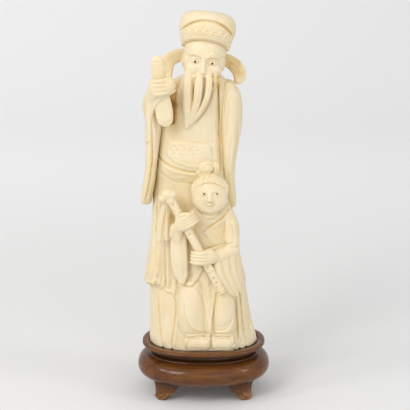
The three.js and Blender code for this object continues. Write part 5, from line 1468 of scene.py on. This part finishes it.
eyes = {}
for name in ("scholar_eye_left", "scholar_eye_right", "child_eye_left", "child_eye_right"):
    low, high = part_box(name)
    eyes[name] = buildEye(name, eyeLook)
    proud = eyeLook["proud"][name.split("_")[0]]
    eyes[name].location = ((low[0] + high[0]) / 2, low[1] + proud, (low[2] + high[2]) / 2)
    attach(eyes[name], "figure")
    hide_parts(name)
print("eyes set")


def feed(tree, socket, value):
    # a value is a number, a colour or another node's socket
    if isinstance(value, bpy.types.NodeSocket):
        tree.links.new(value, socket)
    elif socket.type == "RGBA":
        socket.default_value = (*value, 1)
    else:
        socket.default_value = value


def node(tree, kind, settings=None, **inputs):
    made = tree.nodes.new("ShaderNode" + kind)
    for key, value in (settings or {}).items():
        setattr(made, key, value)
    for key, value in inputs.items():
        feed(tree, made.inputs[key], value)
    return made


def maths(tree, operation, *values, clamp=False):
    made = tree.nodes.new("ShaderNodeMath")
    made.operation, made.use_clamp = operation, clamp
    for socket, value in zip(made.inputs, values):
        feed(tree, socket, value)
    return made.outputs[0]


def times(tree, first, second, clamp=False):
    return maths(tree, "MULTIPLY", first, second, clamp=clamp)


def plus(tree, first, second):
    return maths(tree, "ADD", first, second)


def between(tree, value, low, high, start=0.0, end=1.0):
    inputs = {"Value": value, "From Min": low, "From Max": high, "To Min": start, "To Max": end}
    return node(tree, "MapRange", {"interpolation_type": "SMOOTHSTEP"}, **inputs).outputs["Result"]


def stretched(tree, vector, scale):
    made = node(tree, "VectorMath", {"operation": "MULTIPLY"})
    tree.links.new(vector, made.inputs[0])
    made.inputs[1].default_value = scale
    return made.outputs[0]


def cloud(tree, vector, scale, detail=3.0, roughness=0.55, distortion=0.0):
    made = node(tree, "TexNoise", None, Vector=vector, Scale=scale, Detail=detail, Roughness=roughness,
                Distortion=distortion)
    return made.outputs["Fac"]


def mixed(tree, share, first, second):
    made = tree.nodes.new("ShaderNodeMix")
    made.data_type = "RGBA"
    for socket, value in zip((made.inputs[0], made.inputs[6], made.inputs[7]), (share, first, second)):
        feed(tree, socket, value)
    return made.outputs[2]


def newGroup(name, inputs, outputs):
    group = bpy.data.node_groups.new(name, "ShaderNodeTree")
    for label, kind, value in inputs:
        socket = group.interface.new_socket(label, in_out="INPUT", socket_type="NodeSocket" + kind)
        if value is not None:
            socket.default_value = value
    for label, kind in outputs:
        group.interface.new_socket(label, in_out="OUTPUT", socket_type="NodeSocket" + kind)
    return group, group.nodes.new("NodeGroupInput").outputs, group.nodes.new("NodeGroupOutput").inputs


def putOut(group, sockets, **values):
    for label, value in values.items():
        group.links.new(value, sockets[label])
    return group


def useGroup(tree, group, **inputs):
    made = node(tree, "Group", {"node_tree": group}, **inputs)
    return made.outputs


def attribute(tree, name):
    return node(tree, "Attribute", {"attribute_name": name}).outputs["Fac"]


def newMaterial(name, colour, roughness):
    material = bpy.data.materials.new(name)
    material.use_nodes = True
    shader = material.node_tree.nodes["Principled BSDF"]
    shader.inputs["Base Color"].default_value = (*colour, 1)
    shader.inputs["Roughness"].default_value = roughness
    return material, shader


def bumpFrom(tree, shader, height, strength, distance):
    bump = node(tree, "Bump", None, Height=height, Strength=strength, Distance=distance)
    tree.links.new(bump.outputs["Normal"], shader.inputs["Normal"])


# counts are to the metre; the share is how far a pattern is drawn out along the bone
fibreLook = {
    "fine": (1500, 0.045),
    "broad": (300, 0.09),
    "cloud": 42,
    "pores": (800, 0.3),
    "poreSize": (0.11, 0.2),
    "porePatches": (130, 0.56, 0.66),
}


def buildFibre(look):
    # the fine upright fibres and the pores of bone
    group, given, made = newGroup(
        "boneFibre", [("Vector", "Vector", None), ("Scale", "Float", 1.0)],
        [("Streak", "Float"), ("Cloud", "Float"), ("Pore", "Float"), ("Height", "Float")])
    place = given["Vector"]

    def drawnOut(key):
        count, share = look[key]
        return stretched(group, place, (1, 1, share)), times(group, given["Scale"], count)

    fine = cloud(group, *drawnOut("fine"), 2)
    broad = cloud(group, *drawnOut("broad"), 3)
    wide = cloud(group, place, times(group, given["Scale"], look["cloud"]), 3, 0.6)
    spots, count = drawnOut("pores")
    cells = node(group, "TexVoronoi", {"feature": "F1"}, Vector=spots, Scale=count, Randomness=1.0)
    dots = between(group, cells.outputs["Distance"], *look["poreSize"], 1, 0)
    patches, start, full = look["porePatches"]
    pore = times(group, dots, between(group, cloud(group, place, patches, 1), start, full))
    streak = plus(group, times(group, fine, 0.45), times(group, broad, 0.55))
    height = plus(group, times(group, fine, 0.5), times(group, broad, 0.5))
    height = maths(group, "SUBTRACT", height, pore)
    return putOut(group, made, Streak=streak, Cloud=wide, Pore=pore, Height=height)


# where each sign of age and of painted shade begins, where it is full, and how much it weighs
patinaAndShadeLook = {
    "Enclosed": (0.36, 0.95, 0.36),
    "Tucked": (0.36, 0.90, 0.30),
    "Hollowed": (0.03, 0.26, 0.42),
    "stainAndShade": 0.9,
    "warm": 0.9,
    "amber": (0.42, 1.25),
    "deep": (1.15, 2.0),
    "patches": (160, 0.65, 1.25),
    "grains": (900, 0.88, 1.12),
}


def buildPatinaAndShade(look):
    # where age has turned the bone amber and where shade is painted in: deep in the carving, in its
    # grooves, and in stains and painted shadow spots
    group, given, made = newGroup(
        "agedPatinaAndShade", [("Vector", "Vector", None), ("Enclosed", "Float", 0.0), ("Tucked", "Float", 0.0),
                       ("Hollowed", "Float", 0.0), ("Stain", "Float", 0.0)],
        [("Warm", "Float"), ("Amber", "Float"), ("Deep", "Float")])
    count, weak, strong = look["patches"]
    patchy = between(group, cloud(group, given["Vector"], count, 3, 0.6), 0.3, 0.7, weak, strong)
    count, weak, strong = look["grains"]
    grains = cloud(group, stretched(group, given["Vector"], (1, 1, 0.4)), count, 2)
    uneven = times(group, patchy, between(group, grains, 0.3, 0.7, weak, strong))
    total = times(group, given["Stain"], look["stainAndShade"])
    for label in ("Enclosed", "Tucked", "Hollowed"):
        start, full, weight = look[label]
        total = plus(group, total, times(group, between(group, given[label], start, full), weight))
    total = times(group, total, uneven)
    return putOut(group, made, Warm=times(group, total, look["warm"], clamp=True),
                  Amber=between(group, total, *look["amber"]), Deep=between(group, total, *look["deep"]))


grainLook = {
    "figure": (170, 0.08),
    "streak": (1100, 0.035),
    "pores": (1300, 0.14),
    "poreSize": (0.12, 0.26),
    "porePatches": (420, 0.42, 0.6),
    "mottle": 75,
}


def buildGrain(look):
    # hardwood whose grain runs from left to right
    group, given, made = newGroup(
        "woodGrain", [("Vector", "Vector", None), ("Scale", "Float", 1.0)],
        [("Figure", "Float"), ("Streak", "Float"), ("Pore", "Float"), ("Mottle", "Float")])
    place = given["Vector"]

    def drawnOut(key):
        count, share = look[key]
        return stretched(group, place, (share, 1, 1)), times(group, given["Scale"], count)

    long, count = drawnOut("figure")
    figure = cloud(group, long, count, 4, 0.6, 0.6)
    streak = cloud(group, *drawnOut("streak"), 3, 0.6)
    spots, count = drawnOut("pores")
    cells = node(group, "TexVoronoi", {"feature": "F1"}, Vector=spots, Scale=count, Randomness=1.0)
    dash = between(group, cells.outputs["Distance"], *look["poreSize"], 1, 0)
    patches, start, full = look["porePatches"]
    pore = times(group, dash, between(group, cloud(group, long, patches, 2), start, full))
    mottle = cloud(group, place, times(group, given["Scale"], look["mottle"]), 4, 0.62)
    return putOut(group, made, Figure=figure, Streak=streak, Pore=pore, Mottle=mottle)


boneLook = {
    "pale": (0.806, 0.702, 0.500),
    "cream": (0.768, 0.645, 0.415),
    # warm, amber and deep colour the patina and the painted shade in recesses, grooves and shadow spots
    "warm": (0.785, 0.595, 0.282),
    "amber": (0.600, 0.372, 0.112),
    "deep": (0.240, 0.105, 0.022),
    "pores": 0.5,
    "roughness": (0.38, 0.50),
    "amberRoughness": 0.12,
    "softness": 0.35,
    "softReach": (1.0, 0.7, 0.42),
    "softScale": 0.0025,
    "relief": 0.10,
    "reliefDepth": 0.0002,
    "ior": 1.5,
}


def buildBone(look, fibre, ageAndShade):
    material, shader = newMaterial("carvedBone", look["pale"], 0.45)
    tree = material.node_tree
    place = node(tree, "TexCoord").outputs["Object"]
    grain = useGroup(tree, fibre, Vector=place, Scale=1.0)
    agedAndShaded = useGroup(tree, ageAndShade, Vector=place, Enclosed=attribute(tree, "enclosed"),
                    Tucked=attribute(tree, "tucked"), Hollowed=attribute(tree, "hollowed"),
                    Stain=attribute(tree, "stainAndShade"))
    colour = mixed(tree, between(tree, grain["Cloud"], 0.35, 0.68), look["pale"], look["cream"])
    colour = mixed(tree, between(tree, grain["Streak"], 0.42, 0.64, 0, 0.7), colour, look["cream"])
    colour = mixed(tree, agedAndShaded["Warm"], colour, look["warm"])
    colour = mixed(tree, agedAndShaded["Amber"], colour, look["amber"])
    colour = mixed(tree, agedAndShaded["Deep"], colour, look["deep"])
    colour = mixed(tree, times(tree, grain["Pore"], look["pores"]), colour, look["amber"])
    tree.links.new(colour, shader.inputs["Base Color"])
    gloss = between(tree, grain["Streak"], 0.3, 0.7, *look["roughness"])
    gloss = plus(tree, gloss, times(tree, agedAndShaded["Amber"], look["amberRoughness"]))
    tree.links.new(gloss, shader.inputs["Roughness"])
    bumpFrom(tree, shader, grain["Height"], look["relief"], look["reliefDepth"])
    shader.inputs["IOR"].default_value = look["ior"]
    shader.inputs["Subsurface Weight"].default_value = look["softness"]
    shader.inputs["Subsurface Radius"].default_value = look["softReach"]
    shader.inputs["Subsurface Scale"].default_value = look["softScale"]
    return material


coreLook = {
    "plain": (0.62, 0.47, 0.27),
    "pale": (0.66, 0.52, 0.31),
    "brown": (0.52, 0.36, 0.18),
    "pore": (0.16, 0.08, 0.03),
    "roughness": 0.7,
    "scale": 0.7,
    "relief": 0.5,
    "reliefDepth": 0.0004,
}


def buildCore(look, fibre):
    # the porous bone inside, of the plug and the pins
    material, shader = newMaterial("boneCore", look["plain"], look["roughness"])
    tree = material.node_tree
    grain = useGroup(tree, fibre, Vector=node(tree, "TexCoord").outputs["Object"], Scale=look["scale"])
    colour = mixed(tree, between(tree, grain["Cloud"], 0.3, 0.7), look["pale"], look["brown"])
    tree.links.new(mixed(tree, grain["Pore"], colour, look["pore"]), shader.inputs["Base Color"])
    bumpFrom(tree, shader, grain["Height"], look["relief"], look["reliefDepth"])
    return material


woodLook = {
    "dark": (0.024, 0.0085, 0.003),
    "brown": (0.106, 0.032, 0.006),
    "light": (0.172, 0.060, 0.0105),
    # the pale colour of rubbed edges, partly wear and partly painted highlight, and of the painted
    # highlight on the toes
    "wornAndSheen": (0.42, 0.21, 0.075),
    "roughness": (0.22, 0.34),
    "lacquer": 0.40,
    "lacquerRoughness": 0.19,
    "shine": 0.14,
    "relief": 0.25,
    "reliefDepth": 0.0002,
    "streaks": 0.5,
    "mottle": 0.3,
    "pores": 0.8,
    # where an edge starts to be rubbed pale (wear and painted highlight) and where it is fully so, and the
    # same for grooves darkened with painted shade
    "rubbedAndSheen": (0.25, 1.4, 0.75),
    "sunken": (-0.15, -0.8, 0.85),
    # how strongly the painted shade under the plate and the drum darkens the wood
    "paintedShade": 0.62,
}


def buildWood(look, grainGroup):
    material, shader = newMaterial("rosewood", look["brown"], 0.35)
    tree = material.node_tree
    place = node(tree, "TexCoord").outputs["Object"]
    grain = useGroup(tree, grainGroup, Vector=place, Scale=1.0)
    colour = mixed(tree, between(tree, grain["Figure"], 0.34, 0.68), look["brown"], look["light"])
    streaks = between(tree, grain["Streak"], 0.46, 0.7, 0, look["streaks"])
    colour = mixed(tree, streaks, colour, look["dark"])
    mottle = between(tree, grain["Mottle"], 0.5, 0.72, 0, look["mottle"])
    colour = mixed(tree, mottle, colour, look["dark"])
    colour = mixed(tree, times(tree, grain["Pore"], look["pores"]), colour, look["dark"])
    # edges rubbed pale, partly wear and partly painted highlight; the toes carry a painted highlight
    start, full, weight = look["rubbedAndSheen"]
    edge = between(tree, attribute(tree, "edge"), start, full, 0, weight)
    rubbedAndSheen = times(tree, edge, between(tree, grain["Mottle"], 0.35, 0.6))
    colour = mixed(tree, rubbedAndSheen, colour, look["wornAndSheen"])
    # grooves are darkened with painted shade, and so are the waist and the tops of the feet
    start, full, weight = look["sunken"]
    groove = between(tree, attribute(tree, "edge"), start, full, 0, weight)
    groove = maths(tree, "MAXIMUM", groove, times(tree, attribute(tree, "paintedShade"), look["paintedShade"]))
    tree.links.new(mixed(tree, groove, colour, look["dark"]), shader.inputs["Base Color"])
    gloss = between(tree, grain["Mottle"], 0.35, 0.65, *look["roughness"])
    tree.links.new(gloss, shader.inputs["Roughness"])
    height = maths(tree, "SUBTRACT", times(tree, grain["Streak"], 0.4), grain["Pore"])
    bumpFrom(tree, shader, height, look["relief"], look["reliefDepth"])
    shader.inputs["Specular IOR Level"].default_value = look["shine"]
    shader.inputs["Coat Weight"].default_value = look["lacquer"]
    shader.inputs["Coat Roughness"].default_value = look["lacquerRoughness"]
    return material


hornLook = {"black": (0.010, 0.008, 0.006), "roughness": 0.14}

fibreGroup, patinaAndShadeGroup, grainGroup = buildFibre(fibreLook), buildPatinaAndShade(patinaAndShadeLook), buildGrain(grainLook)
boneMaterial = buildBone(boneLook, fibreGroup, patinaAndShadeGroup)
coreMaterial = buildCore(coreLook, fibreGroup)
woodMaterial = buildWood(woodLook, grainGroup)
hornMaterial = newMaterial("blackHorn", hornLook["black"], hornLook["roughness"])[0]
for pieces, material in ((bones, boneMaterial), (stand, woodMaterial), (eyes, hornMaterial)):
    for piece in pieces.values():
        piece.data.materials.append(material)
for name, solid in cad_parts.items():
    wooden = name.startswith(("stand", "foot"))
    solid.data.materials.clear()
    solid.data.materials.append(woodMaterial if wooden else coreMaterial)
print("materials made")


setLook = {
    "floor": (0.785, 0.785, 0.785),
    "floorRoughness": 0.95,
    "halfWidth": 2.4,
    "nearEdge": -1.6,
    "bendStart": 0.9,
    "bendRadius": 0.7,
    "height": 2.4,
    "glow": 0.14,
    "world": 0.73,
    "target": (0, 0, 0.14),
    # place, size, power, colour
    "lamps": {
        "keyLight": ((-0.66, -0.93, 1.02), 0.5, 6.5, (1, 0.985, 0.96)),
        "leftLight": ((-1.06, -0.5, 1.06), 0.26, 2.8, (1, 0.99, 0.97)),
        "rightLight": ((1.06, -0.5, 1.0), 0.26, 2.2, (1, 1, 1)),
        "fillLight": ((0.45, -1.24, 0.52), 0.8, 2.1, (1, 1, 1)),
    },
}
cameraLook = {
    "place": (0.001, -0.96593, 0.3940),
    "target": (0.001, 0, 0.1352),
    "focal": 127.2,
    "sensor": 36,
}


def aim(thing, target):
    thing.rotation_euler = (Vector(target) - thing.location).to_track_quat("-Z", "Y").to_euler()


def buildFloor(look):
    # a paper sweep: flat, then bent up behind the object
    bend, start = look["bendRadius"], look["bendStart"]
    profile = [(look["nearEdge"], 0.0)]
    profile += [(start + bend * math.sin(t), bend - bend * math.cos(t))
                for t in np.linspace(0, math.pi / 2, 24)]
    profile.append((start + bend, look["height"]))
    points = [(x, y, z) for y, z in profile for x in (-look["halfWidth"], look["halfWidth"])]
    faces = [(2 * i, 2 * i + 1, 2 * i + 3, 2 * i + 2) for i in range(len(profile) - 1)]
    floor = meshFrom("sweep", np.array(points), np.array(faces))
    material, shader = newMaterial("paperSweep", look["floor"], look["floorRoughness"])
    shader.inputs["Specular IOR Level"].default_value = 0.1
    # the backdrop glows a little for the camera alone, more to the back and to the left
    tree = material.node_tree
    spot = node(tree, "SeparateXYZ", None, Vector=node(tree, "TexCoord").outputs["Object"]).outputs
    glow = times(tree, between(tree, spot["Y"], 0.12, 0.75, 0, look["glow"]),
                 between(tree, spot["X"], -0.5, 0.5, 1.25, 0.75))
    seen = node(tree, "LightPath").outputs["Is Camera Ray"]
    shader.inputs["Emission Color"].default_value = (1, 1, 1, 1)
    tree.links.new(times(tree, glow, seen), shader.inputs["Emission Strength"])
    floor.data.materials.append(material)


def lightSet(look):
    world = bpy.data.worlds.new("studio")
    world.use_nodes = True
    world.node_tree.nodes["Background"].inputs["Color"].default_value = (1, 1, 1, 1)
    world.node_tree.nodes["Background"].inputs["Strength"].default_value = look["world"]
    bpy.context.scene.world = world
    for name, (place, size, power, colour) in look["lamps"].items():
        lamp = bpy.data.lights.new(name, "AREA")
        lamp.size, lamp.energy, lamp.color = size, power, colour
        thing = bpy.data.objects.new(name, lamp)
        bpy.context.collection.objects.link(thing)
        thing.location = place
        aim(thing, look["target"])


def placeCamera(look):
    lens = bpy.data.cameras.new("camera")
    lens.sensor_width, lens.lens = look["sensor"], look["focal"]
    camera = bpy.data.objects.new("camera", lens)
    bpy.context.collection.objects.link(camera)
    camera.location = look["place"]
    aim(camera, look["target"])
    bpy.context.scene.camera = camera


buildFloor(setLook)
lightSet(setLook)
placeCamera(cameraLook)
bpy.context.scene.view_settings.view_transform = "Standard"
print("floor, lights and camera set")
